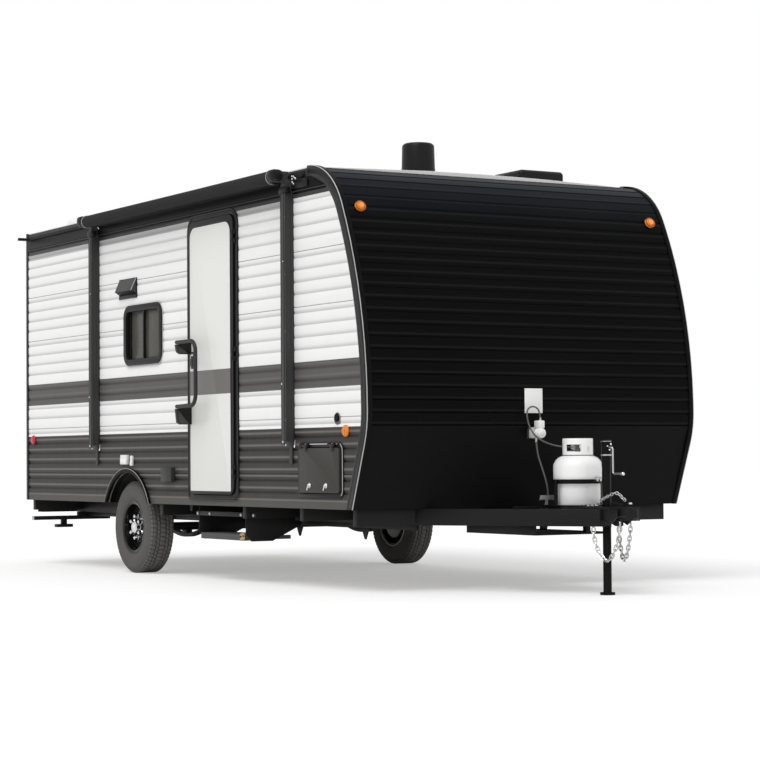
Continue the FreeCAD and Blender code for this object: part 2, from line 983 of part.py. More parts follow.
keep("crossmembers", gather("Crossmembers", cross))

# Rear bumper, a square tube
bumper_half = size["bumper_length"] / 2
bumper_bar = box(
    "BumperBar", (size["bumper_size"], 2 * bumper_half, size["bumper_size"]), (bumper_x, -bumper_half, rail_low))
bumper_wall = size["bumper_wall"]
bumper_bore = box(
    "BumperBore",
    (size["bumper_size"] - 2 * bumper_wall, 2 * bumper_half + 2, size["bumper_size"] - 2 * bumper_wall),
    (bumper_x + bumper_wall, -bumper_half - 1, rail_low + bumper_wall))
keep("bumper", cut("Bumper", bumper_bar, bumper_bore))


# Tongue rails, which run from the front member and meet beside the jack
tongue_width = number("tongue_width")
tongue_start = float(member_x + size["crossmember_width"] + gap)
tongue_nose_y = number("jack_diameter") / 2 + 3 + tongue_width / 2


def tongue_y(x):
    """Distance of a tongue rail's middle line from the centre at a place along it."""
    share = (x - tongue_start) / (float(rails_end) - tongue_start)
    return number("tongue_spread") / 2 + share * (tongue_nose_y - number("tongue_spread") / 2)


def tongue_rail(side):
    a = Vector(tongue_start, side * tongue_y(tongue_start), float(rail_low))
    b = Vector(float(rails_end), side * tongue_nose_y, float(rail_low))
    reach = tongue_width / 2 / math.cos(math.atan2((a - b).y, (b - a).x))
    points = [moved(a, y=reach), moved(a, y=-reach), moved(b, y=-reach), moved(b, y=reach)]
    rail = prism(points, Vector(0, 0, number("tongue_height")))
    across = block((2000, 2 * tongue_nose_y, 400), (rails_end - 1000, -tongue_nose_y, rail_low - 100))
    inside = block((2000, number("jack_diameter") + 4, 400),
                   (rails_end - 1000, -number("jack_diameter") / 2 - 2, rail_low - 100))
    return rail.cut(across.common(inside))


shaped("tongue_rails", Part.makeCompound([tongue_rail(side) for side in (-1, 1)]))

# Coupler: a head over the ball, a bar, and a plate that ties the tongue rails together
coupler_radius = number("coupler_width") / 2
plate_low = float(rail_low + size["tongue_height"] + gap)
plate_high = plate_low + number("coupler_plate")
coupler_low = plate_high - number("coupler_height")
ball_x = float(coupler_tip) - coupler_radius


def coupler_shape():
    start = float(rails_end + gap)
    solid = block((ball_x - start, 2 * coupler_radius, size["coupler_height"]), (start, -coupler_radius, coupler_low))
    solid = solid.fuse(bar(coupler_radius, size["coupler_height"], Vector(ball_x, 0, coupler_low), Vector(0, 0, 1)))
    tail_x = start - number("coupler_tail")
    spread = number("coupler_spread") / 2
    plate = [
        Vector(tail_x, -spread, plate_low), Vector(start + coupler_radius, -coupler_radius, plate_low),
        Vector(start + coupler_radius, coupler_radius, plate_low), Vector(tail_x, spread, plate_low),
    ]
    solid = solid.fuse(prism(plate, Vector(0, 0, number("coupler_plate"))))
    for side in (-1, 1):
        gusset = [
            Vector(start, side * coupler_radius, plate_low), Vector(start, side * coupler_radius, coupler_low),
            Vector(start + coupler_radius, side * coupler_radius, plate_low),
        ]
        solid = solid.fuse(prism(gusset, Vector(0, side * number("coupler_plate"), 0)))
    lever = block(
        (size["lever_length"], size["lever_width"], size["lever_height"]),
        (start + number("lever_ahead"), -size["lever_width"] / 2, plate_high - 1))
    grip = block(
        (size["latch_pad_length"], size["latch_pad_width"], size["latch_pad_height"]),
        (start + number("lever_ahead") / 2, -size["latch_pad_width"] / 2,
         plate_high + size["lever_height"] - size["latch_pad_height"] / 2))
    solid = solid.fuse([lever, grip])
    socket = bar(size["ball_radius"], number("coupler_height") - number("ball_roof") + 1,
                 Vector(ball_x, 0, coupler_low - 1), Vector(0, 0, 1))
    well = bar(number("jack_diameter") / 2 + float(gap), 400, Vector(float(jack_x), 0, coupler_low - 100),
               Vector(0, 0, 1))
    return solid.cut(socket).cut(well).removeSplitter()


shaped("coupler", coupler_shape())

# Tongue jack: the outer tube and its crank stay on the tongue, the leg slides in the tube
jack_radius = size["jack_diameter"] / 2
jack_tube = tube(
    "JackTube", jack_radius, size["jack_wall"], size["jack_top"] - size["jack_bottom"],
    (jack_x, 0, size["jack_bottom"]))
jack_head = rod("JackHead", jack_radius + 3, size["jack_head_height"], (jack_x, 0, size["jack_top"]))
crank_z = size["jack_top"] + size["jack_head_height"] / 2
crank_x = jack_x + jack_radius + size["crank_radius"] * 3
crank_shaft = rod("CrankShaft", size["crank_radius"], crank_x - jack_x, (jack_x, 0, crank_z), "x")
crank_arm = rod(
    "CrankArm", size["crank_radius"] * 1.25, size["crank_drop"] + size["crank_radius"] * 2,
    (crank_x, 0, crank_z - size["crank_drop"]))
crank_grip = rod(
    "CrankGrip", size["crank_radius"] * 1.6, size["crank_reach"],
    (crank_x, 0, crank_z + size["crank_radius"] * 2 - size["crank_drop"]), "x")
keep("jack_tube", fuse("JackTubeAndCrank", [jack_tube, jack_head, crank_shaft, crank_arm, crank_grip]))
leg_radius = jack_radius - size["jack_wall"] - size["running_gap"]
foot_thickness = size["jack_foot_thickness"]
jack_leg = rod(
    "JackLeg", leg_radius, size["jack_bottom"] + size["jack_engaged"] - foot_thickness, (jack_x, 0, foot_thickness))
jack_foot = rod("JackFoot", size["jack_foot_diameter"] / 2, foot_thickness, (jack_x, 0, 0))
keep("jack_leg", fuse("JackLegAndFoot", [jack_leg, jack_foot]))

# Open tray that hangs under the tongue rails
tray_top = rail_low - gap
tray_x = member_x + size["crossmember_width"] - size["tray_behind"]
tray_low = tray_top - size["tray_depth"]
tray_sheet = size["tray_sheet"]
tray_outer = box(
    "TrayOuter", (size["tray_length"], size["tray_width"], size["tray_depth"]),
    (tray_x, -size["tray_width"] / 2, tray_low))
tray_inner = box(
    "TrayInner",
    (size["tray_length"] - 2 * tray_sheet, size["tray_width"] - 2 * tray_sheet, size["tray_depth"]),
    (tray_x + tray_sheet, -size["tray_width"] / 2 + tray_sheet, tray_low + tray_sheet))
keep("tongue_tray", cut("TongueTray", tray_outer, tray_inner))


# Wheels: a rim with a slotted disc, and a tyre on the rim's bead seats
def tyre_shape(side):
    outer = number("tyre_diameter") / 2
    bead = number("rim_diameter") / 2
    tall = outer - bead
    half = number("tyre_width") / 2
    seat = number("rim_width") / 2
    profile = [
        (bead, -seat), (bead + 0.45 * tall, -half), (outer - 0.12 * tall, -0.95 * half), (outer, -0.82 * half),
        (outer, 0.82 * half), (outer - 0.12 * tall, 0.95 * half), (bead + 0.45 * tall, half), (bead, seat),
    ]
    return turned(profile, side)


def rim_shape(side):
    seat = number("rim_diameter") / 2 - float(gap)
    lip = number("rim_diameter") / 2 + number("rim_lip")
    half = number("rim_width") / 2 + float(gap)
    bore = seat - number("rim_shell")
    reach = 0.45 * (number("tyre_diameter") - number("rim_diameter")) / 2
    flare_y = (number("tyre_width") / 2 - number("rim_width") / 2) * number("rim_lip") / reach
    profile = [
        (seat, -half), (lip, -half - flare_y), (lip, -half - flare_y - 6), (bore, -half - 6), (bore, half + 6),
        (lip, half + flare_y + 6), (lip, half + flare_y), (seat, half),
    ]
    solid = turned(profile, side)
    disc_y = number("disc_offset")
    thick = number("disc_thickness")
    disc = bar(bore + 1, thick, Vector(0, disc_y - thick / 2, 0), Vector(0, 1, 0))
    disc = disc.cut(bar(number("hub_bore") / 2, 4 * thick, Vector(0, disc_y - 2 * thick, 0), Vector(0, 1, 0)))
    ring = bore - number("slot_width")
    count = int(number("disc_slots"))
    for i in range(count):
        slot = block(
            (size["slot_length"], 4 * thick, size["slot_width"]),
            (-size["slot_length"] / 2, disc_y - 2 * thick, ring - number("slot_width") / 2))
        slot.rotate(Vector(0, 0, 0), Vector(0, 1, 0), 360 * i / count)
        disc = disc.cut(slot)
    if side < 0:
        disc = disc.mirror(Vector(0, 0, 0), Vector(0, 1, 0))
    return solid.fuse(disc)


def hub_shape(side):
    """Brake drum and hub, which turn with the wheel on the axle's stub."""
    face_y = number("disc_offset") - number("disc_thickness") / 2 - float(gap)
    start = face_y - number("hub_width")
    drum = bar(number("drum_diameter") / 2, number("drum_width"), Vector(0, start, 0), Vector(0, 1, 0))
    flange = bar(number("hub_bore") * 0.86, number("hub_width"), Vector(0, start, 0), Vector(0, 1, 0))
    cap = bar(number("hub_bore") / 2 - float(gap), size["hub_cap_length"], Vector(0, face_y - 4, 0), Vector(0, 1, 0))
    solid = drum.fuse([flange, cap])
    bore = bar(number("stub_diameter") / 2 + number("pin_gap"), number("hub_width"),
               Vector(0, start, 0), Vector(0, 1, 0))
    solid = solid.cut(bore)
    return solid if side > 0 else solid.mirror(Vector(0, 0, 0), Vector(0, 1, 0))


hub_y = wheel_y + size["disc_offset"] - size["disc_thickness"] / 2 - gap - size["hub_width"]
for side, name in ((-1, "right"), (1, "left")):
    centre = Vector(float(wheel_x), side * float(wheel_y), float(wheel_z))
    for node, shape in (("tyre_", tyre_shape(side)), ("wheel_", rim_shape(side)), ("hub_", hub_shape(side))):
        shape.translate(centre)
        shaped(node + name, shape)

# Axle: a tube with a stub at each end and a seat on each spring
tube_half = hub_y - 2
axle_tube = rod("AxleTube", size["axle_tube"] / 2, 2 * tube_half, (wheel_x, -tube_half, wheel_z), "y")
stub_half = hub_y + size["hub_width"] - 8
axle_stub = rod("AxleStub", size["stub_diameter"] / 2, 2 * stub_half, (wheel_x, -stub_half, wheel_z), "y")
spring_top = wheel_z - size["axle_tube"] / 2 - size["spring_seat"]
seats = []
for side in (-1, 1):
    seats.append(mirrored_box(
        f"SpringSeat{side + 1}", (size["seat_length"], size["spring_width"], size["spring_seat"] + 6),
        (wheel_x - size["seat_length"] / 2, size["rail_spacing"] / 2 - size["spring_width"] / 2, spring_top), side))
keep("axle", fuse("Axle", [axle_tube, axle_stub] + seats))


# Leaf springs under the axle, hung from the rails at both ends
def leaf_spring(side):
    thick = number("spring_depth")
    rise = number("spring_rise")
    half = number("spring_length") / 2
    high = float(spring_top - gap) - 1
    x = float(wheel_x)
    upper = Part.Arc(Vector(x - half, 0, high + rise), Vector(x, 0, high), Vector(x + half, 0, high + rise))
    lower = Part.Arc(
        Vector(x - half, 0, high + rise - thick / 2), Vector(x, 0, high - thick),
        Vector(x + half, 0, high + rise - thick / 2))
    ends = [
        Part.LineSegment(Vector(x + s * half, 0, high + rise), Vector(x + s * half, 0, high + rise - thick / 2))
        for s in (-1, 1)
    ]
    edges = [item.toShape() for item in [upper, lower] + ends]
    leaf = Part.Face(Part.Wire(Part.__sortEdges__(edges))).extrude(Vector(0, number("spring_width"), 0))
    leaf.translate(Vector(0, side * number("rail_spacing") / 2 - number("spring_width") / 2, 0))
    return leaf


shaped("leaf_springs", Part.makeCompound([leaf_spring(side) for side in (-1, 1)]))
hangers = []
hanger_low = spring_top + size["spring_rise"] - size["spring_depth"]
for side in (-1, 1):
    for end in (-1, 1):
        for face in (-1, 1):
            inner_y = size["rail_spacing"] / 2 + face * (size["spring_width"] / 2 + gap + size["hanger_plate"] / 2)
            x = wheel_x + end * (size["spring_length"] / 2 - size["hanger_width"] / 4) - size["hanger_width"] / 2
            hangers.append(mirrored_box(
                f"Hanger{side + 1}{end + 1}{face + 1}",
                (size["hanger_width"], size["hanger_plate"], rail_low - gap - hanger_low),
                (x, inner_y - size["hanger_plate"] / 2, hanger_low), side))
keep("spring_hangers", gather("SpringHangers", hangers))


# Panels, blocks and round pieces on the right, left and rear walls. Near and far are
# distances outwards from the wall's outer face, so inside the wall they are negative.
def wall_start(face, near, far):
    """The low coordinate, square to a wall, of a piece between two distances from it."""
    if face == "left":
        return half_width + near
    if face == "right":
        return -half_width - far
    return rear_x - far


def wall_panel(name, face, across, low_z, length, height, corner_radius, near, far):
    """A rounded panel set in or on a wall."""
    corners = [
        (across - length / 2, low_z), (across + length / 2, low_z),
        (across + length / 2, low_z + height), (across - length / 2, low_z + height),
    ]
    start = wall_start(face, near, far)
    if face == "rear":
        return panel(name, "YZ_Plane", corners, far - near, Vector(1, 0, 0), corner_radius, (start, 0, 0))
    spot = (0, start + (far - near), 0)
    return panel(name, "XZ_Plane", corners, far - near, Vector(0, 1, 0), corner_radius, spot)


def wall_box(name, face, across, low_z, length, height, near, far):
    start = wall_start(face, near, far)
    if face == "rear":
        return box(name, (far - near, length, height), (start, across - length / 2, low_z))
    return box(name, (length, far - near, height), (across - length / 2, start, low_z))


def wall_lamp(name, face, across, middle_z, radius, depth):
    """A round lamp with a tapered lens on a base."""
    base_start = wall_start(face, gap, gap + depth / 2)
    lens_start = wall_start(face, gap + depth / 2, gap + depth)
    narrow = radius * 0.72
    first, second = (radius, narrow) if face == "left" else (narrow, radius)
    if face == "rear":
        spots, along = [(base_start, across, middle_z), (lens_start, across, middle_z)], "x"
    else:
        spots, along = [(across, base_start, middle_z), (across, lens_start, middle_z)], "y"
    base = rod(name + "Base", radius, depth / 2, spots[0], along)
    lens = cone(name + "Lens", first, second, depth / 2, spots[1], along)
    return fuse(name, [base, lens])


def frame_ring(name, face, across, low_z, length, height, corner, inset, lap, proud):
    """A frame round an opening: a flange outside the wall and a neck through it."""

    def layer(word, grow, near, far):
        return wall_panel(
            name + word, face, across, low_z - grow, length + 2 * grow, height + 2 * grow, corner + grow, near, far)

    flange = layer("Flange", lap, gap, proud)
    neck = layer("Neck", -gap, -(skin + wall), proud / 2)
    bore = layer("Bore", -inset, -(skin + wall + 5), proud + 5)
    return cut(name + "Ring", fuse(name + "Solid", [flange, neck]), bore)


# Windows, each with a frame, a mullion and a pane behind the rim
frames = []
panes = []
window_spots = {
    "RightWindow": ("right", window_x, size["window_length"]),
    "LeftWindow": ("left", left_window_x, size["window_length"]),
    "RearWindow": ("rear", as_size(0), rear_length),
}
for name, (face, across, length) in window_spots.items():
    low_z = size["window_bottom"]
    height = size["window_height"]
    rim = size["window_rim"]
    ring = frame_ring(
        name, face, across, low_z, length, height, size["window_corner"], rim, size["window_overlap"],
        size["window_proud"])
    mullion = wall_box(
        name + "Mullion", face, across, low_z + rim - 4, size["mullion_width"], height - 2 * rim + 8,
        -size["mullion_depth"], size["window_proud"] / 3)
    frames.append(fuse(name + "Frame", [ring, mullion]))
    inset = rim + gap
    panes.append(wall_panel(
        name + "Pane", face, across, low_z + inset, length - 2 * inset, height - 2 * inset,
        size["window_corner"] - inset, -size["pane_setback"] - size["pane_thickness"], -size["pane_setback"]))
keep("window_frames", gather("WindowFrames", frames))
keep("window_glass", gather("WindowGlass", panes))


def hinge(name, along, centre, frame_way, leaf_way):
    """A hinge's two halves from the middle of its pin: what stays on the frame, with the
    pin, and what swings with the leaf. Each way is a block's low corner from the pin's
    line and its lengths, in the two directions square to the pin."""
    radius, third = size["hinge_radius"], size["hinge_length"] / 3
    short = third - size["running_gap"]
    start = shifted(centre, along, -size["hinge_length"] / 2)
    last = shifted(start, along, third * 2 + size["running_gap"])
    middle_start = shifted(start, along, third)

    def wing(word, way, spot, length):
        (a, b), (c, d) = way
        if along == "z":
            return box(name + word, (c, d, length), (spot[0] + a, spot[1] + b, spot[2]))
        return box(name + word, (length, c, d), (spot[0], spot[1] + a, spot[2] + b))

    fixed = [rod(name + "Pin", size["hinge_pin"], size["hinge_length"], start, along)]
    for word, spot in (("First", start), ("Last", last)):
        fixed.append(rod(name + word, radius, short, spot, along))
        fixed.append(wing(word + "Wing", frame_way, spot, short))
    swinging = fuse(name + "Swinging", [
        rod(name + "Knuckle", radius, third, middle_start, along),
        wing("Wing", leaf_way, middle_start, third)])
    bore = rod(
        name + "Bore", size["hinge_pin"] + size["pin_gap"], third + 2, shifted(middle_start, along, -1), along)
    return fixed, cut(name + "Leaf", swinging, bore)


# Entry door: a frame in the opening, and a leaf hung on the frame's forward side
flange = size["door_flange"]
leaf_length = size["door_length"] - 2 * flange - 2 * size["door_gap"]
leaf_height = door_height - 2 * flange - 2 * size["door_gap"]
leaf_low = size["door_bottom"] + flange + size["door_gap"]
leaf_outer = -half_width - size["door_proud"]
door_ring = frame_ring(
    "Door", "right", door_x, size["door_bottom"], size["door_length"], door_height, size["door_corner"], flange,
    size["door_lap"], size["door_frame_proud"])
leaf = wall_panel(
    "DoorLeaf", "right", door_x, leaf_low, leaf_length, leaf_height,
    size["door_corner"] - flange - size["door_gap"], size["door_proud"] - size["door_thickness"],
    size["door_proud"])
hinge_radius = size["hinge_radius"]
hinge_x = door_x + leaf_length / 2 + size["door_gap"] + hinge_radius
hinge_y = leaf_outer - hinge_radius
frame_parts = [door_ring]
leaf_parts = [leaf]
sunk = hinge_radius + size["door_proud"] - size["door_frame_proud"] + 1
for word, spot in (
    ("LowHinge", leaf_low + size["hinge_inset"]),
    ("MiddleHinge", leaf_low + leaf_height / 2),
    ("HighHinge", leaf_low + leaf_height - size["hinge_inset"]),
):
    fixed, swinging = hinge(
        word, "z", (hinge_x, hinge_y, spot), ((0, 0), (hinge_radius * 2, sunk)),
        ((-hinge_radius * 4, 0), (hinge_radius * 4, hinge_radius + 1)))
    frame_parts += fixed
    leaf_parts.append(swinging)
keep("door_frame", fuse("DoorFrame", frame_parts))
keep("entry_door", fuse("EntryDoor", leaf_parts))

# Cargo hatch: the same, hung on its top edge
flange = size["hatch_flange"]
hatch_leaf_length = size["hatch_length"] - 2 * flange - 2 * size["hatch_gap"]
hatch_leaf_height = size["hatch_height"] - 2 * flange - 2 * size["hatch_gap"]
hatch_leaf_low = size["hatch_bottom"] + flange + size["hatch_gap"]
hatch_ring = frame_ring(
    "Hatch", "right", hatch_x, size["hatch_bottom"], size["hatch_length"], size["hatch_height"],
    size["hatch_corner"], flange, size["hatch_lap"], size["hatch_frame_proud"])
hatch_leaf = wall_panel(
    "HatchLeaf", "right", hatch_x, hatch_leaf_low, hatch_leaf_length, hatch_leaf_height,
    size["hatch_corner"] - flange, size["hatch_proud"] - size["hatch_thickness"], size["hatch_proud"])
hatch_hinge_y = -half_width - size["hatch_proud"] - hinge_radius
hatch_hinge_z = hatch_leaf_low + hatch_leaf_height + size["hatch_gap"] + hinge_radius
frame_parts = [hatch_ring]
leaf_parts = [hatch_leaf]
sunk = hinge_radius + size["hatch_proud"] - size["hatch_frame_proud"] + 1
for side in (-1, 1):
    spot = hatch_x + side * hatch_leaf_length / 3
    fixed, swinging = hinge(
        f"HatchHinge{side + 1}", "x", (spot, hatch_hinge_y, hatch_hinge_z), ((0, 0), (sunk, hinge_radius * 2)),
        ((0, -hinge_radius * 4), (hinge_radius + 1, hinge_radius * 4)))
    frame_parts += fixed
    leaf_parts.append(swinging)
keep("hatch_frame", fuse("HatchFrame", frame_parts))
keep("cargo_hatch", fuse("CargoHatch", leaf_parts))

# Corner mouldings: an angle down each front and rear corner
trim = number("trim_thickness")
clearance = float(gap)
body_half = float(half_width)
trims = []
for side in (-1, 1):
    over = sorted((side * (body_half + clearance), side * (body_half + clearance + trim)))
    onto = sorted((side * (body_half - number("trim_front")), side * (body_half + clearance + 1)))
    leg = nose_strip(nose_edges(-clearance - trim), number("trim_side"), *over)
    trims.append(leg.fuse(nose_strip(nose_edges(-clearance - trim), -clearance, *onto)))
    start = float(rear_x) - clearance - trim
    leg = block((number("trim_side") + trim, over[1] - over[0], body_top - body_low), (start, over[0], body_low))
    face = block((trim, onto[1] - onto[0], body_top - body_low), (start, onto[0], body_low))
    trims.append(leg.fuse(face))
shaped("corner_trims", Part.makeCompound(trims))


# Roof gutters, each with an open spout at the rear corner
def gutter(side):
    depth, sheet = number("gutter_depth"), number("gutter_wall")
    start = float(rear_x) + number("trim_side") + 8
    run = Vector(float(brow_x) - number("trim_front") - start, 0, 0)
    near = body_half + clearance
    floor_z = number("body_top") - number("gutter_drop")
    section = [
        (near, floor_z), (near + depth, floor_z), (near + depth, floor_z + number("gutter_height")),
        (near + depth - sheet, floor_z + number("gutter_height")), (near + depth - sheet, floor_z + sheet),
        (near + sheet, floor_z + sheet), (near + sheet, floor_z + number("gutter_back")),
        (near, floor_z + number("gutter_back")),
    ]
    rail = prism([Vector(start, y, z) for y, z in section], run)
    width, reach = number("spout_width"), number("spout_reach") - depth
    spout = block((width, reach, number("gutter_height") - 2), (start, near + depth - 1, floor_z))
    inside = block((width - 2 * sheet, reach + depth, 40), (start + sheet, near + depth - 4, floor_z + sheet))
    solid = rail.fuse(spout.cut(inside))
    return solid if side > 0 else solid.mirror(Vector(0, 0, 0), Vector(0, 1, 0))


shaped("roof_gutters", Part.makeCompound([gutter(side) for side in (-1, 1)]))

# Awning: two arms down the wall, with the rolled fabric between their heads
rear_arm_x = rear_x + size["rear_arm_ahead"]
front_arm_x = rear_arm_x + size["awning_length"]
roller_z = body_top - size["roller_diameter"] / 2
roller_out = size["arm_depth"] + size["roller_diameter"] / 2 + 1
arms = []
for name, x in (("RearArm", rear_arm_x), ("FrontArm", front_arm_x)):
    arm_height = body_top - size["gutter_drop"] - 1 - size["arm_bottom"]
    back = wall_box(
        name + "Back", "right", x, size["arm_bottom"], size["arm_width"], arm_height, gap, size["arm_back"])
    front = wall_box(
        name + "Front", "right", x, size["arm_bottom"] + size["arm_foot"] / 4,
        size["arm_width"] - 2 * size["arm_margin"], arm_height - size["arm_foot"] / 4, size["arm_back"] - 1,
        size["arm_depth"])
    foot = wall_box(
        name + "Foot", "right", x, size["arm_bottom"] - size["arm_foot"], size["arm_width"] / 2,
        size["arm_foot"] + 10, gap, size["arm_back"] / 2)
    head = wall_box(
        name + "Head", "right", x, roller_z - size["arm_head_height"] / 2, size["arm_head_width"],
        size["arm_head_height"], size["gutter_depth"] + 2, roller_out + size["roller_diameter"] / 2 - 6)
    arms.append(fuse(name, [back, front, foot, head]))
keep("awning_arms", gather("AwningArms", arms))
roller_inset = size["arm_head_width"] / 2 + gap
keep("awning_roller", rod(
    "AwningRoller", size["roller_diameter"] / 2, size["awning_length"] - 2 * roller_inset,
    (rear_arm_x + roller_inset, -half_width - roller_out, roller_z), "x"))


# Roof fittings: blocks whose upright and top edges are cut away
def roof_fitting(x, y, length, width, height, edge):
    nearest = max(0.0, abs(float(y)) - float(width) / 2)
    low_z = roof_level(nearest) + float(gap)
    solid = block((length, width, height), (x - length / 2, y - width / 2, low_z))
    chosen = [e for e in solid.Edges if e.BoundBox.ZMax > low_z + 1]
    return solid.makeChamfer(float(edge), chosen)


edge = size["vent_height"] / 5
shaped("roof_vents", Part.makeCompound([
    roof_fitting(
        brow_x - size["front_vent_behind"], size["front_vent_offset"], size["vent_size"], size["vent_size"],
        size["vent_height"], edge),
    roof_fitting(
        rear_x + size["vent_ahead"], size["vent_offset"], size["vent_size"], size["vent_size"],
        size["vent_height"], edge),
    roof_fitting(
        rear_x + size["skylight_ahead"], -size["skylight_offset"], size["skylight_size"], size["skylight_size"],
        size["skylight_height"], edge),
]))
shaped("air_conditioner", roof_fitting(
    rear_x + size["conditioner_ahead"], as_size(0), size["conditioner_length"], size["conditioner_width"],
    size["conditioner_height"], size["conditioner_height"] / 5))
antenna_low = roof_level(max(0.0, number("antenna_offset") - number("antenna_diameter") / 2)) + clearance
antenna_radius = size["antenna_diameter"] / 2
antenna_spot = (brow_x - size["antenna_behind"], -size["antenna_offset"])
antenna_body = rod(
    "AntennaBody", antenna_radius, size["antenna_height"] - size["antenna_edge"], (*antenna_spot, antenna_low))
antenna_cap = cone(
    "AntennaCap", antenna_radius, antenna_radius - size["antenna_edge"], size["antenna_edge"],
    (*antenna_spot, antenna_low + size["antenna_height"] - size["antenna_edge"]))
keep("antenna", fuse("Antenna", [antenna_body, antenna_cap]))

# Marker lamps: amber in front, red behind
amber = []
lamp_radius, lamp_depth = size["marker_radius"], size["marker_depth"]
nose_lamp_travel = nose_travel(number("nose_lamp_height"))
for side in (-1, 1):
    offset = float(half_width - size["nose_lamp_inset"])
    spot = moved(nose_point(nose_lamp_travel, -clearance), y=side * offset)
    lens = Part.makeCone(
        float(lamp_radius), float(lamp_radius) * 0.72, float(lamp_depth), spot, nose_normal(nose_lamp_travel))
    item = doc.addObject("Part::Feature", f"NoseLamp{side + 1}")
    item.Shape = lens
    amber.append(item)
for face in ("right", "left"):
    amber.append(wall_lamp(
        "FrontMarker" + face, face, nose_x - size["front_marker_behind"], size["marker_height"], lamp_radius,
        lamp_depth))
keep("amber_lamps", gather("AmberLamps", amber))
red = []
for face in ("right", "left"):
    red.append(wall_lamp(
        "RearMarker" + face, face, rear_x + size["rear_marker_ahead"], size["marker_height"], lamp_radius,
        lamp_depth))
for side in (-1, 1):
    red.append(wall_panel(
        f"TailLamp{side + 1}", "rear", side * (half_width - size["tail_lamp_inset"]), size["tail_lamp_height"],
        size["tail_lamp_size"], size["tail_lamp_size"], size["tail_lamp_size"] / 7, gap, size["tail_lamp_depth"]))
for offset in (-1, 0, 1):
    red.append(wall_lamp(
        f"HighLamp{offset + 1}", "rear", offset * size["tail_lamp_size"], body_top - size["high_lamp_drop"],
        lamp_radius * 0.8, lamp_depth))
keep("red_lamps", gather("RedLamps", red))

# Small fittings on the walls: hood, outlets, and the covers of the left-hand side
hood = wall_box(
    "VentHood", "right", wheel_x, size["hood_height"], size["hood_length"], size["hood_tall"], gap,
    size["hood_proud"])
slope = [
    Vector(0, -float(half_width + gap + size["hood_proud"]) - 1, number("hood_height") + number("hood_lip")),
    Vector(0, -float(half_width + size["hood_proud"] / 3), number("hood_height") + number("hood_tall") + 1),
    Vector(0, -float(half_width + gap + size["hood_proud"]) - 1, number("hood_height") + number("hood_tall") + 1),
]
wedge = doc.addObject("Part::Feature", "HoodSlope")
wedge.Shape = prism([moved(p, x=float(wheel_x) - number("hood_length")) for p in slope],
                    Vector(2 * number("hood_length"), 0, 0))
fittings = [cut("VentHoodSloped", hood, wedge)]
flare_top = arch_z + arch_radius + size["flare_width"]
cover_specs = {
    "Outlet": (
        "right", wheel_x - size["outlet_behind"], flare_top + size["outlet_above"],
        size["outlet_size"], size["outlet_size"] / 2, size["outlet_proud"]),
    "Inlet": (
        "right", wheel_x + size["inlet_ahead"], flare_top + size["outlet_above"],
        size["outlet_size"] / 2, size["outlet_size"] * 0.6, size["inlet_proud"]),
    "OutletBox": (
        "right", door_x - size["box_behind"], flare_top - size["box_drop"],
        size["outlet_size"] * 1.7, size["outlet_size"], size["box_proud"]),
    "HeaterCover": (
        "left", wheel_x - size["heater_behind"], size["cover_height"],
        size["cover_size"], size["cover_size"], size["cover_proud"]),
    "FridgeCover": (
        "left", door_x + size["fridge_ahead"], size["cover_height"],
        size["cover_size"] * 1.5, size["cover_size"] * 1.2, size["cover_proud"]),
    "Port": (
        "right", hatch_x + size["port_ahead"], size["hatch_bottom"] + size["hatch_height"] + size["port_above"],
        size["port_size"], size["port_size"], size["port_proud"]),
}
for name, (face, across, low_z, length, height, proud) in cover_specs.items():
    fittings.append(wall_box(name, face, across, low_z, length, height, gap, proud))
keep("wall_fittings", gather("WallFittings", fittings))


# Gas cylinder, turned from its half section, with its collar and valve
cylinder_low = float(plate_high) + 2 * clearance + number("carrier_sheet")
shell_radius = number("cylinder_diameter") / 2
valve_back = -number("valve_length") / 2 - 2
shell_top = cylinder_low + number("cylinder_height")


def gas_cylinder():
    low, top, radius = cylinder_low, shell_top, shell_radius
    foot = radius * 0.64
    rise, shoulder = number("foot_ring_height"), number("shoulder_height")
    collar = number("collar_diameter") / 2
    collar_top = top + number("collar_height")
    profile = [
        (0, low + rise), (foot - 4, low + rise), (foot - 4, low), (foot, low), (foot, low + rise),
        (radius * 0.88, low + rise + 14), (radius, low + rise + shoulder * 0.7), (radius, top - shoulder),
        (radius * 0.93, top - shoulder * 0.5), (collar, top - shoulder * 0.18), (collar, collar_top),
        (collar - number("collar_wall"), collar_top), (collar - number("collar_wall"), top - shoulder * 0.1),
        (number("neck_radius"), top), (number("neck_radius"), top + number("neck_height")),
        (0, top + number("neck_height")),
    ]
    points = [Vector(r, 0, z) for r, z in profile]
    section = Part.Face(Part.makePolygon(points + points[:1]))
    solid = section.revolve(Vector(0, 0, 0), Vector(0, 0, 1), 360)
    window_height, wheel_height = number("collar_window_height"), number("valve_wheel_height")
    slot = block(
        (collar + window_height / 2, size["collar_slot"], collar_top - top - window_height),
        (-collar - window_height / 2, -size["collar_slot"] / 2, top + wheel_height))
    window = block(
        (window_height, size["collar_window_width"], window_height),
        (collar - window_height / 2, -size["collar_window_width"] / 2, top + number("collar_window_above")))
    valve = block(
        (size["valve_length"], size["valve_width"], size["valve_height"]),
        (valve_back, -size["valve_width"] / 2, top + number("valve_above")))
    wheel_low = top + number("valve_above") + number("valve_height") - 2
    wheel = bar(size["valve_wheel_radius"], wheel_height, Vector(0, 0, wheel_low), Vector(0, 0, 1))
    solid = solid.cut(slot.fuse(rounded(window, Vector(1, 0, 0), window_height * 0.4))).fuse([valve, wheel])
    solid.translate(Vector(float(cylinder_x), 0, 0))
    return solid


shaped("gas_cylinder", gas_cylinder())

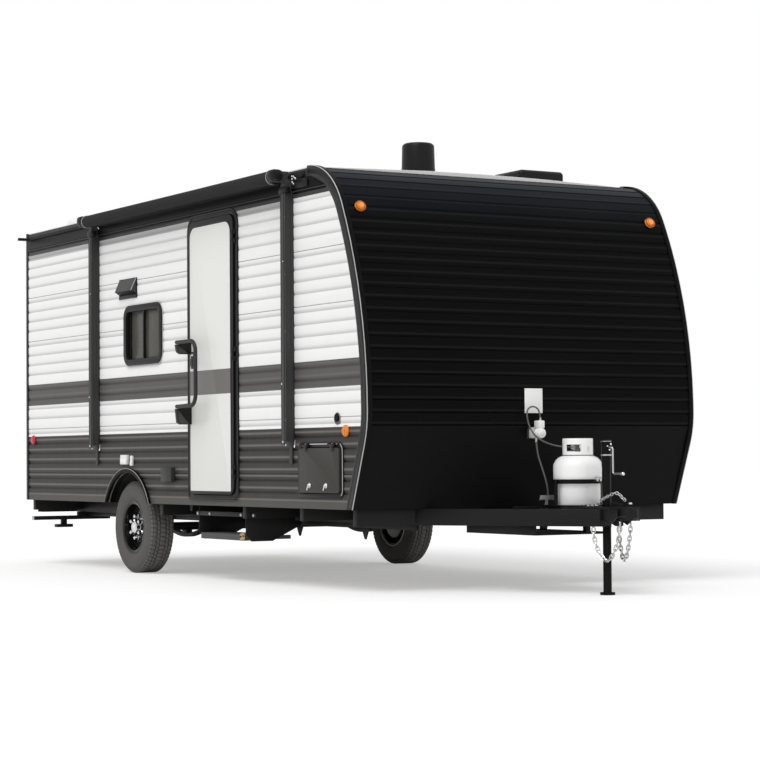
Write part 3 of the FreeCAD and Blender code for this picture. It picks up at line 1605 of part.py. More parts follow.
# Carrier: a base on the coupler plate and a cross bar, a post, and a band round the cylinder
base_low = plate_high + float(gap)
sheet_half = size["cylinder_diameter"] / 2 + 12
base = box(
    "CarrierBase", (2 * sheet_half, 2 * sheet_half, size["carrier_sheet"]),
    (cylinder_x - sheet_half, -sheet_half, base_low))
bar_x = cylinder_x - sheet_half + 20
bar_half = tongue_y(float(bar_x)) + tongue_width / 4
bar_low = rail_low + size["tongue_height"] + gap
cross_bar = box(
    "CarrierBar", (size["carrier_bar"], 2 * bar_half, base_low + 1 - bar_low), (bar_x, -bar_half, bar_low))
post_y = -(size["cylinder_diameter"] / 2 + size["post_diameter"] / 2 + 2)
band_low = cylinder_low + size["band_level"]
post = rod(
    "CarrierPost", size["post_diameter"] / 2, band_low + size["band_height"] - base_low, (cylinder_x, post_y, base_low))
band = tube(
    "CarrierBand", size["cylinder_diameter"] / 2 + 5 + gap, as_size(5), size["band_height"],
    (cylinder_x, 0, band_low))
lug_y = post_y - size["post_diameter"] / 2
lug = box(
    "CarrierLug", (size["post_diameter"], size["post_diameter"], size["carrier_sheet"]),
    (cylinder_x - size["post_diameter"] / 2, lug_y, base_low))
keep("cylinder_carrier", fuse("CylinderCarrier", [base, cross_bar, post, band, lug]))

# Gas regulator on a bracket that follows the front wall
regulator_low = number("regulator_height") - number("regulator_size")
regulator_x = nose_point(nose_travel(regulator_low)).x + number("regulator_standoff")
regulator_y = -number("regulator_size") / 3
case = block(
    (size["regulator_size"], size["regulator_size"] * 1.2, size["regulator_size"] * 1.8),
    (regulator_x, regulator_y - number("regulator_size") * 0.6, regulator_low))
case = rounded(case, Vector(0, 1, 0), number("regulator_size") / 5)
bracket = block(
    (regulator_x + 20 - float(foot_x), size["regulator_size"], size["regulator_size"] * 1.2),
    (foot_x, regulator_y - number("regulator_size"), regulator_low))
nose_filler = nose_strip(nose_edges(-clearance), 300, -300, 300)
shaped("gas_regulator", case.fuse(bracket.cut(nose_filler)))


# Gas hoses: straight runs joined by tangent arcs
HOSE_SIDES = 10


def hose(node, route, diameter):
    """A tube along a route whose corners are rounded by arcs as large as the runs allow."""
    pieces = []
    radii = []
    start = route[0]
    for before_point, corner, after_point in zip(route, route[1:], route[2:]):
        before = corner - before_point
        after = after_point - corner
        turn = before.getAngle(after)
        reach = 0.45 * min(before.Length, after.Length)
        radius = reach / math.tan(turn / 2)
        radii.append(radius)
        before.normalize()
        after.normalize()
        a = corner - before * reach
        b = corner + after * reach
        inward = (after - before).normalize()
        middle_point = corner + inward * (radius / math.cos(turn / 2) - radius)
        pieces.append(Part.LineSegment(start, a).toShape())
        pieces.append(Part.Arc(a, middle_point, b).toShape())
        start = b
    pieces.append(Part.LineSegment(start, route[-1]).toShape())
    wire = Part.Wire(pieces)
    way = (route[1] - route[0]).normalize()
    across = way.cross(Vector(0, 1, 0)).normalize() * (diameter / 2)
    sides = [route[0] + Rotation(way, 360 * i / HOSE_SIDES).multVec(across) for i in range(HOSE_SIDES)]
    solid = wire.makePipeShell([Part.makePolygon(sides + sides[:1])], True, True)
    print(node, "length", round(wire.Length, 1), "radii", [round(r, 1) for r in radii],
          "volume", round(solid.Volume), "of", round(HOSE_SIDES / 2 * math.sin(2 * math.pi / HOSE_SIDES) * diameter ** 2 / 4 * wire.Length))
    shaped(node, solid)


case_x = regulator_x + number("regulator_size") / 2
case_top = regulator_low + number("regulator_size") * 1.8
valve_x = float(cylinder_x) + valve_back - clearance
valve_z = shell_top + number("valve_above") + number("valve_height") / 2
hose("pigtail_hose", [
    Vector(case_x, -6, case_top + clearance), Vector(case_x, -6, case_top + 62), Vector(case_x, -60, case_top + 93),
    Vector(case_x + 2, -114, case_top + 62), Vector(case_x + 22, -104, case_top - 50),
    Vector(case_x + 90, -78, valve_z + 48), Vector(valve_x - 150, -52, valve_z + 10),
    Vector(valve_x - 72, 0, valve_z), Vector(valve_x, 0, valve_z),
], number("pigtail_diameter"))
member_face = float(member_x + size["crossmember_width"]) + clearance
hose_end_z = float(rail_low) + number("tongue_height") / 2
hose("gas_hose", [
    Vector(case_x, -39, regulator_low - clearance), Vector(case_x + 6, -38, regulator_low - 86),
    Vector(case_x + 54, -30, regulator_low - 190), Vector(case_x + 76, -10, regulator_low - 290),
    Vector(case_x + 62, 4, regulator_low - 368), Vector(case_x - 2, 0, hose_end_z + 26),
    Vector(member_face + 145, -60, hose_end_z), Vector(member_face, -60, hose_end_z),
], number("hose_diameter"))

# Entry step: side plates under the rail, and a tread that slides out between them
step_half = size["step_length"] / 2
step_front = half_width - size["step_inset"]
plate_floor = size["step_height"] - size["step_plate_drop"]
plate_gap = size["step_side_gap"]
step_outline = [
    (-step_front, body_low - gap), (-step_front, plate_floor + size["step_plate_nose"]),
    (-step_front + size["step_plate_toe"], plate_floor), (-step_front + size["step_plate_sole"], plate_floor),
    (-outrigger_y + plate_gap, rail_low - size["step_plate_heel"]), (-outrigger_y + plate_gap, rail_low - gap),
    (-outrigger_y - size["step_plate_hook"], rail_low - gap),
    (-outrigger_y - size["step_plate_hook"], body_low - gap),
]
plates = []
for side in (-1, 1):
    body = doc.addObject("PartDesign::Body", f"StepPlate{side + 1}")
    sketch = sketch_on(body, "YZ_Plane", f"StepPlateOutline{side + 1}")
    outline(sketch, step_outline)
    pad = body.newObject("PartDesign::Pad", f"StepPlatePad{side + 1}")
    pad.Profile = sketch
    pad.Length = number("step_plate")
    bind(pad, "Length", size["step_plate"])
    plates.append(place(body, (door_x + side * (step_half + plate_gap) - size["step_plate"] / 2, 0, 0)))
keep("step_frame", gather("StepFrame", plates))
tread_low = size["step_height"] - 5 - size["step_thickness"]
tread = box(
    "StepTread", (2 * step_half, size["step_depth"], size["step_thickness"]),
    (door_x - step_half, -step_front, tread_low))
runner_reach = plate_gap - size["step_plate"] / 2 - size["running_gap"] + 4
runners = []
for side in (-1, 1):
    start = door_x + step_half - 4 if side > 0 else door_x - step_half + 4 - runner_reach
    runners.append(box(
        f"StepRunner{side + 1}", (runner_reach, size["step_runner_length"], size["step_runner"]),
        (start, -step_front + 50, tread_low + 6)))
keep("entry_step", fuse("EntryStep", [tread] + runners))

# Grab handle: a tall D hung on two brackets of the door
handle_x = door_x - leaf_length / 2 + size["handle_inset"]
handle_y = leaf_outer - size["handle_standoff"] - size["handle_bar"] / 2
knuckle = size["handle_bar"] / 2 + 2
arm_rise = size["handle_length"] / 2 - size["bracket_height"] / 2 - gap - knuckle
door_fittings = []
for side in (-1, 1):
    arm_z = size["handle_height"] + side * arm_rise
    near_z = float(arm_z + side * (knuckle + gap))
    tall = side * number("bracket_height")
    deep = float(leaf_outer - gap)
    tip = float(handle_y - knuckle)
    points = [
        Vector(0, deep, near_z), Vector(0, deep, near_z + 1.35 * tall), Vector(0, tip + number("bracket_skirt"), near_z + tall),
        Vector(0, tip, near_z + 0.7 * tall), Vector(0, tip, near_z),
    ]
    width = number("bracket_width")
    points = [moved(p, x=float(handle_x) - width / 2) for p in points]
    pin_low = min(near_z + tall / 4, float(arm_z) - side * float(knuckle))
    pin_high = max(near_z + tall / 4, float(arm_z) - side * float(knuckle))
    pin_rod = bar(size["handle_pin"], pin_high - pin_low, Vector(float(handle_x), float(handle_y), pin_low),
                  Vector(0, 0, 1))
    door_fittings.append(prism(points, Vector(width, 0, 0)).fuse(pin_rod))
lock = block(
    (size["lock_width"], size["lock_proud"], size["lock_height"]),
    (handle_x + size["lock_ahead"], leaf_outer - gap - size["lock_proud"],
     size["handle_height"] + size["lock_above"]))
door_fittings.append(rounded(lock, Vector(0, 1, 0), number("lock_corner")))
shaped("door_fittings", Part.makeCompound(door_fittings))


def grab_handle():
    """The bar, bent round from knuckle to knuckle, and its two bored knuckles."""
    x, y = float(handle_x), float(handle_y)
    bend = number("handle_bend")
    far = x + number("handle_reach")
    low_z = float(size["handle_height"] - arm_rise)
    high_z = float(size["handle_height"] + arm_rise)
    share = math.sqrt(0.5)
    corners = [Vector(x, y, high_z), Vector(far - bend, y, high_z), Vector(far, y, high_z - bend),
               Vector(far, y, low_z + bend), Vector(far - bend, y, low_z), Vector(x, y, low_z)]
    high_arc = Vector(far - bend + bend * share, y, high_z - bend + bend * share)
    low_arc = Vector(far - bend + bend * share, y, low_z + bend - bend * share)
    path = Part.Wire([
        Part.LineSegment(corners[0], corners[1]).toShape(),
        Part.Arc(corners[1], high_arc, corners[2]).toShape(),
        Part.LineSegment(corners[2], corners[3]).toShape(),
        Part.Arc(corners[3], low_arc, corners[4]).toShape(),
        Part.LineSegment(corners[4], corners[5]).toShape(),
    ])
    radius = number("handle_bar") / 2
    sides = [
        Vector(x, y + radius * math.cos(math.radians(a)), high_z + radius * math.sin(math.radians(a)))
        for a in range(0, 360, 30)
    ]
    solid = path.makePipeShell([Part.makePolygon(sides + sides[:1])], True, True)
    height = 2 * float(knuckle)
    for z in (low_z, high_z):
        solid = solid.fuse(bar(knuckle, height, Vector(x, y, z - height / 2), Vector(0, 0, 1)))
    for z in (low_z, high_z):
        solid = solid.cut(bar(
            size["handle_pin"] + size["pin_gap"], height + 4, Vector(x, y, z - height / 2 - 2), Vector(0, 0, 1)))
    return solid


shaped("grab_handle", grab_handle())

# Stabiliser jacks, folded under the rear ends of the rails
stabilisers = []
for side in (-1, 1):
    name = "StabiliserLeft" if side > 0 else "StabiliserRight"
    start_y = half_width - size["stabiliser_inset"] - size["stabiliser_length"]
    beam_low = rail_low - gap - size["stabiliser_drop"] / 2
    width = size["stabiliser_width"]
    beam = mirrored_box(
        name + "Beam", (width, size["stabiliser_length"], size["stabiliser_drop"] / 4), (rear_x, start_y, beam_low),
        side)
    mount = mirrored_box(
        name + "Mount", (width, width * 2, size["stabiliser_drop"] / 2),
        (rear_x, size["rail_spacing"] / 2 - width, beam_low), side)
    foot = mirrored_box(
        name + "Foot", (width * 1.6, width * 3, size["stabiliser_drop"] / 5),
        (rear_x - width * 0.3, start_y + size["stabiliser_length"] / 2, beam_low - size["stabiliser_drop"] / 2),
        side)
    stem = mirrored_box(
        name + "Stem", (width * 0.7, width, size["stabiliser_drop"] / 2 + 2),
        (rear_x + width * 0.15, start_y + size["stabiliser_length"] / 2 + width,
         beam_low - size["stabiliser_drop"] / 2 + 1), side)
    stabilisers.append(fuse(name, [beam, mount, foot, stem]))
keep("stabiliser_jacks", gather("StabiliserJacks", stabilisers))


# Safety chains, which hang from the tongue rails to the coupler
wire_size = number("chain_wire")


def link_outline(inner_half, end_radius):
    """A long six-sided ring about the origin, in the XY plane."""
    straight = inner_half - end_radius * math.cos(math.radians(30))
    points = []
    for end in (1, -1):
        for angle in (-90, -30, 30, 90):
            x = end * (straight + end_radius * math.cos(math.radians(angle)))
            points.append(Vector(x, end * end_radius * math.sin(math.radians(angle)), -wire_size / 2))
    return points


def chain_link():
    half, reach = number("link_length") / 2, number("link_width") / 2
    outer = prism(link_outline(half, reach), Vector(0, 0, wire_size))
    return outer.cut(prism(link_outline(half - wire_size, reach - wire_size), Vector(0, 0, wire_size)))


def chain(route):
    """Links set end to end along a smooth route, each turned a quarter from the last."""
    curve = Part.BSplineCurve()
    curve.interpolate(route)
    count = math.ceil(curve.length() / (number("link_length") - 2 * wire_size - clearance / 2))
    pitch = curve.length() / count
    made = []
    for i in range(count):
        spot, back, front = [
            curve.value(curve.parameterAtDistance((i + share) * pitch, curve.FirstParameter))
            for share in (0.5, 0.0, 1.0)
        ]
        heading = Rotation(Vector(1, 0, 0), front - back)
        roll = Rotation(front - back, 45 + 90 * (i % 2))
        link = chain_link()
        link.Placement = Placement(spot, roll.multiply(heading))
        made.append(link)
    return made


chain_x = float(rails_end - size["chain_behind"])
hook_x = float(rails_end + size["hook_ahead"])
lead = wire_size + 3.2 * clearance
links = []
for side in (-1, 1):
    out, inner = tongue_y(chain_x), number("hook_offset")
    high, end_high = float(rail_low) - lead, coupler_low - lead
    drop = number("chain_drop")
    links += chain([
        Vector(chain_x, side * out, high), Vector(chain_x + 4, side * out, high - drop),
        Vector((chain_x + hook_x) / 2 - 10, side * (out + inner) / 2, high - number("chain_sag")),
        Vector(hook_x - 4, side * inner, end_high - drop), Vector(hook_x, side * inner, end_high),
    ])
shaped("safety_chains", Part.makeCompound(links))

# Every part is checked before its file is written
doc.recompute()
faults = []
for item in doc.Objects:
    if "Invalid" in item.State or "Error" in item.State:
        faults.append(f"{item.Name}: {item.State}")
for node, item in parts.items():
    if item.Shape.isNull() or not item.Shape.isValid():
        faults.append(f"{node}: not a valid shape")
if faults:
    raise RuntimeError("; ".join(faults))

os.makedirs("parts", exist_ok=True)
for node, item in parts.items():
    item.Shape.exportStep(f"parts/{node}.step")
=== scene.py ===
"""Looks of a travel caravan, laid out as an add-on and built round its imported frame."""

import json
import math

import bmesh
import bpy
from mathutils import Matrix, Vector

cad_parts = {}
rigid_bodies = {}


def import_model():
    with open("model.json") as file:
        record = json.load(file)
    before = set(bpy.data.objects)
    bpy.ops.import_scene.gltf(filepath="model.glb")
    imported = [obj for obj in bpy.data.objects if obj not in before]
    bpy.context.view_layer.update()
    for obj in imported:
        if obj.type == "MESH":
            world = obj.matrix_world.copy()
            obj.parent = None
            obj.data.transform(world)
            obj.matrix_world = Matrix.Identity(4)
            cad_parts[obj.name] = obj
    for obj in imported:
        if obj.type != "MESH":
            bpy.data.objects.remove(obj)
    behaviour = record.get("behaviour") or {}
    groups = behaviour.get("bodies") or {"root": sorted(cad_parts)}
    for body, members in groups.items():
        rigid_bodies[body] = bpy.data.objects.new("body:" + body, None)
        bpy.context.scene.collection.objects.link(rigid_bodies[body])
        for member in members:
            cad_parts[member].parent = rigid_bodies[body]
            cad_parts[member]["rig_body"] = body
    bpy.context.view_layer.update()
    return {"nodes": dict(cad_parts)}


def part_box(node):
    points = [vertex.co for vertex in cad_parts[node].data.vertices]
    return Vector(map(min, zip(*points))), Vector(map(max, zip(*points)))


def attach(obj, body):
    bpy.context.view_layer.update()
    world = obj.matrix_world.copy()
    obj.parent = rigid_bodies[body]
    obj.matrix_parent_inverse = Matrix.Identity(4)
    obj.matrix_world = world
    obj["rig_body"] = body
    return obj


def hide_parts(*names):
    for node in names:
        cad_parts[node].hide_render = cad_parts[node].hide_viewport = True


bl_info = {
    "name": "Travel Caravan",
    "version": (1, 0, 0),
    "blender": (4, 5, 0),
    "location": "3D View > Sidebar > Caravan",
    "description": "Dresses a travel caravan's frame with its siding, fittings and running gear",
    "category": "Object",
}

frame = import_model()
cad_nodes = frame["nodes"]


# Settings that a user would change
def tint(name, description, value):
    return bpy.props.FloatVectorProperty(
        name=name, description=description, default=value, size=3, min=0, max=1, subtype="COLOR")


def span(name, description, value):
    return bpy.props.FloatProperty(name=name, description=description, default=value, min=0, unit="LENGTH")


def tilt(name, description, degrees):
    return bpy.props.FloatProperty(
        name=name, description=description, default=math.radians(degrees), unit="ROTATION")


class CaravanColours(bpy.types.PropertyGroup):
    siding_white: tint("Siding white", "Painted siding between the bands", (0.87, 0.87, 0.865))
    siding_belt: tint("Siding belt", "Grey belt below the window", (0.098, 0.094, 0.091))
    siding_low: tint("Siding charcoal", "Lower courses of the siding", (0.042, 0.039, 0.036))
    siding_foot: tint("Foot strip", "Strip along the body's lower edge", (0.080, 0.076, 0.072))
    fascia: tint("Fascia", "Band under the roof's edge", (0.042, 0.042, 0.042))
    nose_black: tint("Nose black", "Gloss paint of the front wall", (0.0028, 0.0028, 0.0030))
    door_white: tint("Door white", "Door panel", (0.775, 0.775, 0.745))
    door_band: tint("Door band", "Grey band across the door panel", (0.145, 0.137, 0.124))
    moulding: tint("Moulding black", "Door, window and corner mouldings", (0.010, 0.010, 0.010))
    hatch: tint("Hatch charcoal", "Smooth panel of the cargo hatch", (0.044, 0.041, 0.036))
    glass: tint("Tinted glass", "Window panes", (0.066, 0.063, 0.053))
    chassis: tint("Chassis black", "Painted steel under the floor", (0.010, 0.010, 0.010))
    awning: tint("Awning cloth", "Rolled awning", (0.024, 0.024, 0.025))
    awning_arm: tint("Awning arm", "Powder-coated arms of the awning", (0.020, 0.020, 0.020))
    rubber: tint("Tyre rubber", "Tyres and hoses", (0.098, 0.094, 0.092))
    amber: tint("Amber lens", "Marker lamps", (0.60, 0.17, 0.012))
    red: tint("Red lens", "Rear lamps", (0.42, 0.01, 0.03))
    gas_white: tint("Cylinder white", "Gas cylinder and regulator", (0.91, 0.91, 0.905))
    bright_metal: tint("Bright metal", "Chains, crank and galvanised parts", (0.62, 0.61, 0.60))
    brass: tint("Brass", "Gas valve and the step's bracket", (0.60, 0.45, 0.20))
    cabin: tint("Cabin board", "Laminate inside the cabin", (0.42, 0.38, 0.32))


class CaravanSizes(bpy.types.PropertyGroup):
    belt_low: span("Belt bottom", "Height of the grey belt's lower edge", 1.255)
    belt_high: span("Belt top", "Height of the grey belt's upper edge", 1.420)
    skirt_high: span("Charcoal top", "Height at which the charcoal courses end", 1.010)
    fascia_low: span("Fascia bottom", "Height at which the dark fascia starts", 2.460)
    foot_high: span("Foot strip top", "Height of the strip along the lower edge", 0.548)
    seam_height: span("Seam", "Height of the siding's seam beside the window", 1.768)
    course_height: span("Course", "Height of one sheet of siding", 0.349)
    rib_pitch: span("Rib pitch", "Distance between ribs", 0.077)
    rib_depth: span("Rib depth", "Depth of the groove between ribs", 0.0055)
    lip_drop: span("Lip drop", "Drop from a seam to the first rib's bright lip", 0.0095)
    nose_height: span("Nose height", "Height of the foremost point of the front wall", 1.100)
    nose_radius: span("Nose radius", "Radius of the front wall above its foremost point", 2.900)
    brow_height: span("Brow height", "Height of the curve that meets the roof", 0.269)
    toe_radius: span("Toe radius", "Radius of the front wall's turn below its foremost point", 0.550)
    toe_angle: tilt("Toe angle", "Lean of the front wall's foot", 21)
    roof_height: span("Roof edge", "Height of the roof's edge", 2.640)
    body_low: span("Body bottom", "Height of the body's lower edge", 0.508)


class CaravanStage(bpy.types.PropertyGroup):
    eye: bpy.props.FloatVectorProperty(
        name="Camera place", description="Where the photograph is taken from",
        default=(13.757, -7.895, 0.816), subtype="XYZ", unit="LENGTH")
    yaw: tilt("Yaw", "Direction that the camera looks in", 149.47)
    pitch: tilt("Pitch", "Upward tilt of the camera", 2.01)
    roll: tilt("Roll", "Sideways tilt of the camera", -0.42)
    lens: bpy.props.FloatProperty(
        name="Lens", description="Focal length in millimetres on a 36 mm sensor", default=106.0, unit="CAMERA")
    sky: bpy.props.FloatProperty(name="Sky light", description="Strength of the even light", default=0.68, min=0)
    sun: bpy.props.FloatProperty(name="Key light", description="Strength of the soft light", default=1.4, min=0)


# Materials: sums on a socket are written as Python
class Wire:
    """One value in a material, on which arithmetic adds Math nodes."""

    def __init__(self, finish, socket):
        self.finish = finish
        self.socket = socket

    def joined(self, operation, *values):
        return self.finish.node("ShaderNodeMath", {"operation": operation}, *values)["Value"]

    def __rsub__(self, other):
        return self.joined("SUBTRACT", other, self)

    def clamped(self):
        return self.finish.node("ShaderNodeClamp", {}, self)["Result"]


def math_method(operation):
    """Makes a method of Wire from an operation of the Math node."""
    return lambda wire, *others: wire.joined(operation, wire, *others)


for word, operation in (
        ("__add__", "ADD"), ("__radd__", "ADD"), ("__sub__", "SUBTRACT"), ("__mul__", "MULTIPLY"),
        ("__truediv__", "DIVIDE"), ("__mod__", "FLOORED_MODULO"), ("__gt__", "GREATER_THAN"),
        ("__lt__", "LESS_THAN"), ("__abs__", "ABSOLUTE"), ("wave", "SINE")):
    setattr(Wire, word, math_method(operation))


class Finish:
    """A material whose Principled shader is fed by named values or by wires."""

    def __init__(self, name, **values):
        self.material = bpy.data.materials.new(name)
        self.material.use_nodes = True
        self.tree = self.material.node_tree
        self.shader = self.tree.nodes["Principled BSDF"]
        self.set(**values)

    def link(self, socket, value):
        if isinstance(value, Wire):
            self.tree.links.new(value.socket, socket)
        elif hasattr(value, "__len__") and len(value) == 3 and socket.type == "RGBA":
            socket.default_value = (*value, 1)
        else:
            socket.default_value = value

    def set(self, **values):
        for name, value in values.items():
            self.link(self.shader.inputs[name.replace("_", " ")], value)
        return self

    def node(self, kind, settings, *values, **named):
        """Adds a node: its settings first, then its sockets in order or by name."""
        made = self.tree.nodes.new(kind)
        for word, value in settings.items():
            setattr(made, word, value)
        shown = [s for s in made.inputs if s.enabled]
        for socket, value in zip(shown, values):
            self.link(socket, value)
        for name, value in named.items():
            socket = next(s for s in shown if s.name == name.replace("_", " "))
            self.link(socket, value)
        return {s.name: Wire(self, s) for s in made.outputs if s.enabled}

    def place(self):
        return self.node("ShaderNodeTexCoord", {})["Object"]

    def axes(self):
        found = self.node("ShaderNodeSeparateXYZ", {}, self.place())
        return found["X"], found["Y"], found["Z"]

    def noise(self, scale, detail=4.0, stretch=(1, 1, 1), roughness=0.5):
        """Noise from 0 to 1, with a number of waves to the metre."""
        spot = self.node("ShaderNodeMapping", {}, self.place(), Scale=stretch)["Vector"]
        return self.node(
            "ShaderNodeTexNoise", {}, Vector=spot, Scale=scale, Detail=detail, Roughness=roughness)["Fac"]

    def cells(self, scale):
        """Distance from the middle of the nearest cell, with a number of cells to the metre."""
        return self.node("ShaderNodeTexVoronoi", {}, Vector=self.place(), Scale=scale)["Distance"]

    def mix(self, share, first, second, way="MIX"):
        """Mixes two colours by a share from 0 to 1."""
        return self.node(
            "ShaderNodeMix", {"data_type": "RGBA", "blend_type": way}, Factor=share, A=first, B=second)["Result"]

    def toned(self, colour, spread, share):
        """Makes a colour darker and lighter by a spread, as the share goes from 0 to 1."""
        grey = self.mix(share, (1 - spread,) * 3, (1 + spread,) * 3)
        return self.mix(1.0, colour, grey, "MULTIPLY")

    def bump(self, height, depth):
        """Turns a height from 0 to 1 into a bump of a real depth in metres."""
        normal = self.node("ShaderNodeBump", {}, Strength=1.0, Distance=depth, Height=height)["Normal"]
        return self.set(Normal=normal)


def shade(colour, share):
    return tuple(max(0.0, min(1.0, c * share)) for c in colour)


def painted(name, colour, roughness, spread, grain, depth, **values):
    """Paint or moulded plastic with a faint cloud of tone, a fine skin and rubbed patches."""
    finish = Finish(name, **values)
    cloud = finish.noise(1.3, 3.0)
    skin = finish.noise(grain, 4.0)
    finish.set(Base_Color=finish.mix(cloud, shade(colour, 1 - spread), shade(colour, 1 + spread)))
    finish.set(Roughness=roughness + (cloud - 0.5) * 0.12)
    finish.bump(skin, depth)
    return finish


def metal(name, colour, roughness):
    """Bare or plated metal with a fine grain and dull patches."""
    finish = Finish(name, Metallic=1.0)
    patch = finish.noise(9.0, 4.0)
    grain = finish.noise(240.0, 3.0)
    finish.set(Base_Color=finish.mix(patch, shade(colour, 0.82), shade(colour, 1.1)))
    finish.set(Roughness=roughness + patch * 0.16)
    finish.bump(grain, 0.0002)
    return finish


# Reaches of the painted shade, the seam lines and the painted highlights at a groove or a lip of the siding, in
# metres
SHADE_ABOVE_GROOVE = 0.024
SHADE_BELOW_GROOVE = 0.005
SEAM_LINE = 0.003
GROOVE_SHADOW = 0.015
LIP_SHINE = 0.011
NOSE_SHINE = 0.010

# The awning rail's shade under the fascia: its depth, and how far forward it runs
RAIL_SHADE = 0.048
RAIL_END = 1.32


def near(distance, reach):
    """A share that falls from 1 at a line to 0 at a reach from it."""
    return (1 - abs(distance) / reach).clamped()


def siding_paint(colours, sizes):
    """Striped paint of the ribbed siding, with dark seam lines, painted shade and highlights at its ribs and the
    awning rail's painted shadow.
    """
    finish = Finish("siding_paint", Specular_IOR_Level=0.22)
    along, across, height = finish.axes()
    cloud = finish.noise(1.1, 3.0)
    streak = finish.noise(16.0, 3.0, (1, 1, 0.12))
    belt = (height > sizes.belt_low) * (height < sizes.belt_high)
    low = height < sizes.skirt_high
    foot = height < sizes.foot_high
    fascia = height > sizes.fascia_low
    colour = finish.mix(belt, colours.siding_white, colours.siding_belt)
    colour = finish.mix(low, colour, colours.siding_low)
    colour = finish.mix(foot, colour, colours.siding_foot)
    colour = finish.mix(fascia, colour, colours.fascia)
    pitch = sizes.rib_pitch
    drop = (sizes.seam_height - height) % sizes.course_height
    ribs = (drop < pitch * 4) * (1 - foot) * (1 - fascia)
    groove = drop % pitch - pitch / 2
    lip = (drop + (1.5 * pitch - sizes.lip_drop)) % pitch - pitch / 2
    # Painted shade that fades away from each groove, above it and a little below it
    above = (1 + groove / SHADE_ABOVE_GROOVE).clamped() * (groove < 0)
    below = (1 - groove / SHADE_BELOW_GROOVE).clamped() * (groove > 0)
    half = sizes.course_height / 2
    seam = near((drop + half) % sizes.course_height - half, SEAM_LINE)
    dark = (low + belt * 0.5) * (1 - foot)
    # The white courses get the grooves' painted shade, and every course gets a dark seam line
    line = ((above * 0.36 + below * 0.32) * ribs * (1 - dark) + seam * 0.75 * (1 - fascia) * (1 - foot)).clamped()
    colour = finish.mix(line, colour, shade(colours.siding_low, 0.8))
    # Painted shadow in the grooves and painted highlight on the lips of the dark courses
    shadow = near(groove, GROOVE_SHADOW) * ribs * dark
    colour = finish.mix(shadow * 0.92, colour, shade(colours.siding_low, 0.10))
    shine = near(lip, LIP_SHINE) * dark
    colour = finish.mix(shine * 0.85, colour, shade(colours.siding_low, 4.4))
    under = (height > sizes.fascia_low - RAIL_SHADE) * (height < sizes.fascia_low)
    under = under * (along < RAIL_END) * (across < 0)
    colour = finish.mix(under * 0.5, colour, shade(colours.siding_white, 0.15))
    colour = finish.toned(colour, 0.05, cloud * 0.6 + streak * 0.4)
    finish.set(Base_Color=colour, Roughness=0.42 + streak * 0.14)
    finish.bump(finish.noise(90.0, 3.0), 0.0003)
    return finish


def nose_paint(colours, sizes):
    """Gloss black of the front wall, with a painted blue sky reflection at its brow and painted highlights on its
    ribs.
    """
    finish = Finish("nose_paint", Specular_IOR_Level=0.05)
    _, _, height = finish.axes()
    haze = finish.noise(0.9, 4.0, (1, 1, 2.2))
    ripple = finish.noise(7.0, 3.0, (1, 0.12, 3.5))
    low = height < sizes.skirt_high
    brow = ((height - 2.28) / 0.4).clamped()
    lip = (sizes.seam_height - height + 0.9 * sizes.rib_pitch) % sizes.rib_pitch - sizes.rib_pitch / 2
    sheen = near(lip, NOSE_SHINE) * (1 - low)
    colour = finish.mix(low, colours.nose_black, shade(colours.nose_black, 2.6))
    # Painted reflection of the sky, bluish towards the brow
    colour = finish.mix(brow, colour, (0.010, 0.014, 0.020))
    colour = finish.mix(sheen * 0.30, colour, (0.030, 0.030, 0.033))
    colour = finish.toned(colour, 0.35, haze)
    finish.set(Base_Color=colour, Roughness=0.24 + haze * 0.14 + low * 0.1)
    finish.bump(ripple, 0.0008)
    return finish


def door_paint(colours, sizes):
    """White laminate of the door panel with its printed grey band."""
    finish = Finish("door_paint")
    _, _, height = finish.axes()
    cloud = finish.noise(1.6, 3.0, (1, 1, 0.5))
    pores = finish.noise(220.0, 3.0)
    belt = (height > sizes.belt_low) * (height < sizes.belt_high)
    colour = finish.mix(belt, colours.door_white, colours.door_band)
    finish.set(Base_Color=finish.toned(colour, 0.025, cloud), Roughness=0.33 + cloud * 0.1)
    finish.bump(pores, 0.00015)
    return finish


def cloth(name, colour):
    """Coated awning cloth with its weave and soft rubbed bands."""
    finish = Finish(name, Roughness=0.78, Specular_IOR_Level=0.12)
    along, _, _ = finish.axes()
    weave = finish.noise(900.0, 2.0, (1, 0.5, 0.5))
    band = finish.noise(2.2, 3.0, (0.4, 1, 1))
    wrap = (along * 5200.0).wave() * 0.5 + 0.5
    finish.set(Base_Color=finish.toned(colour, 0.16, band * 0.7 + weave * 0.3))
    finish.bump(weave * 0.7 + wrap * 0.3, 0.0004)
    return finish


def lens(name, colour):
    """Clear moulded plastic over a reflector, with the prism rings of a lamp and a faint painted glow from the
    reflector.
    """
    finish = Finish(name, Roughness=0.14, Emission_Strength=0.10)
    prisms = finish.cells(110.0)
    glow = finish.noise(30.0, 2.0)
    tone = finish.toned(colour, 0.35, prisms * 1.6)
    # The faint emission is painted light: a glow that stands for the reflector behind the lens
    finish.set(Base_Color=tone, Emission_Color=finish.toned(colour, 0.3, glow))
    finish.bump(prisms, 0.0012)
    return finish


def rubber(name, colour, roughness):
    """Rubber with a fine skin, dust in its pores and a grey bloom."""
    finish = Finish(name, Specular_IOR_Level=0.3)
    bloom = finish.noise(5.0, 4.0)
    pores = finish.noise(260.0, 4.0)
    finish.set(Base_Color=finish.toned(colour, 0.22, bloom * 0.7 + pores * 0.3))
    finish.set(Roughness=roughness + bloom * 0.12)
    finish.bump(pores, 0.0004)
    return finish


def grip(name, colour):
    """Grip paint with a coarse, pebbled skin."""
    finish = Finish(name, Roughness=0.6)
    pebbles = finish.cells(190.0)
    dust = finish.noise(7.0, 4.0)
    finish.set(Base_Color=finish.toned(colour, 0.4, pebbles * 0.9 + dust * 0.5))
    finish.bump(pebbles, 0.0012)
    return finish


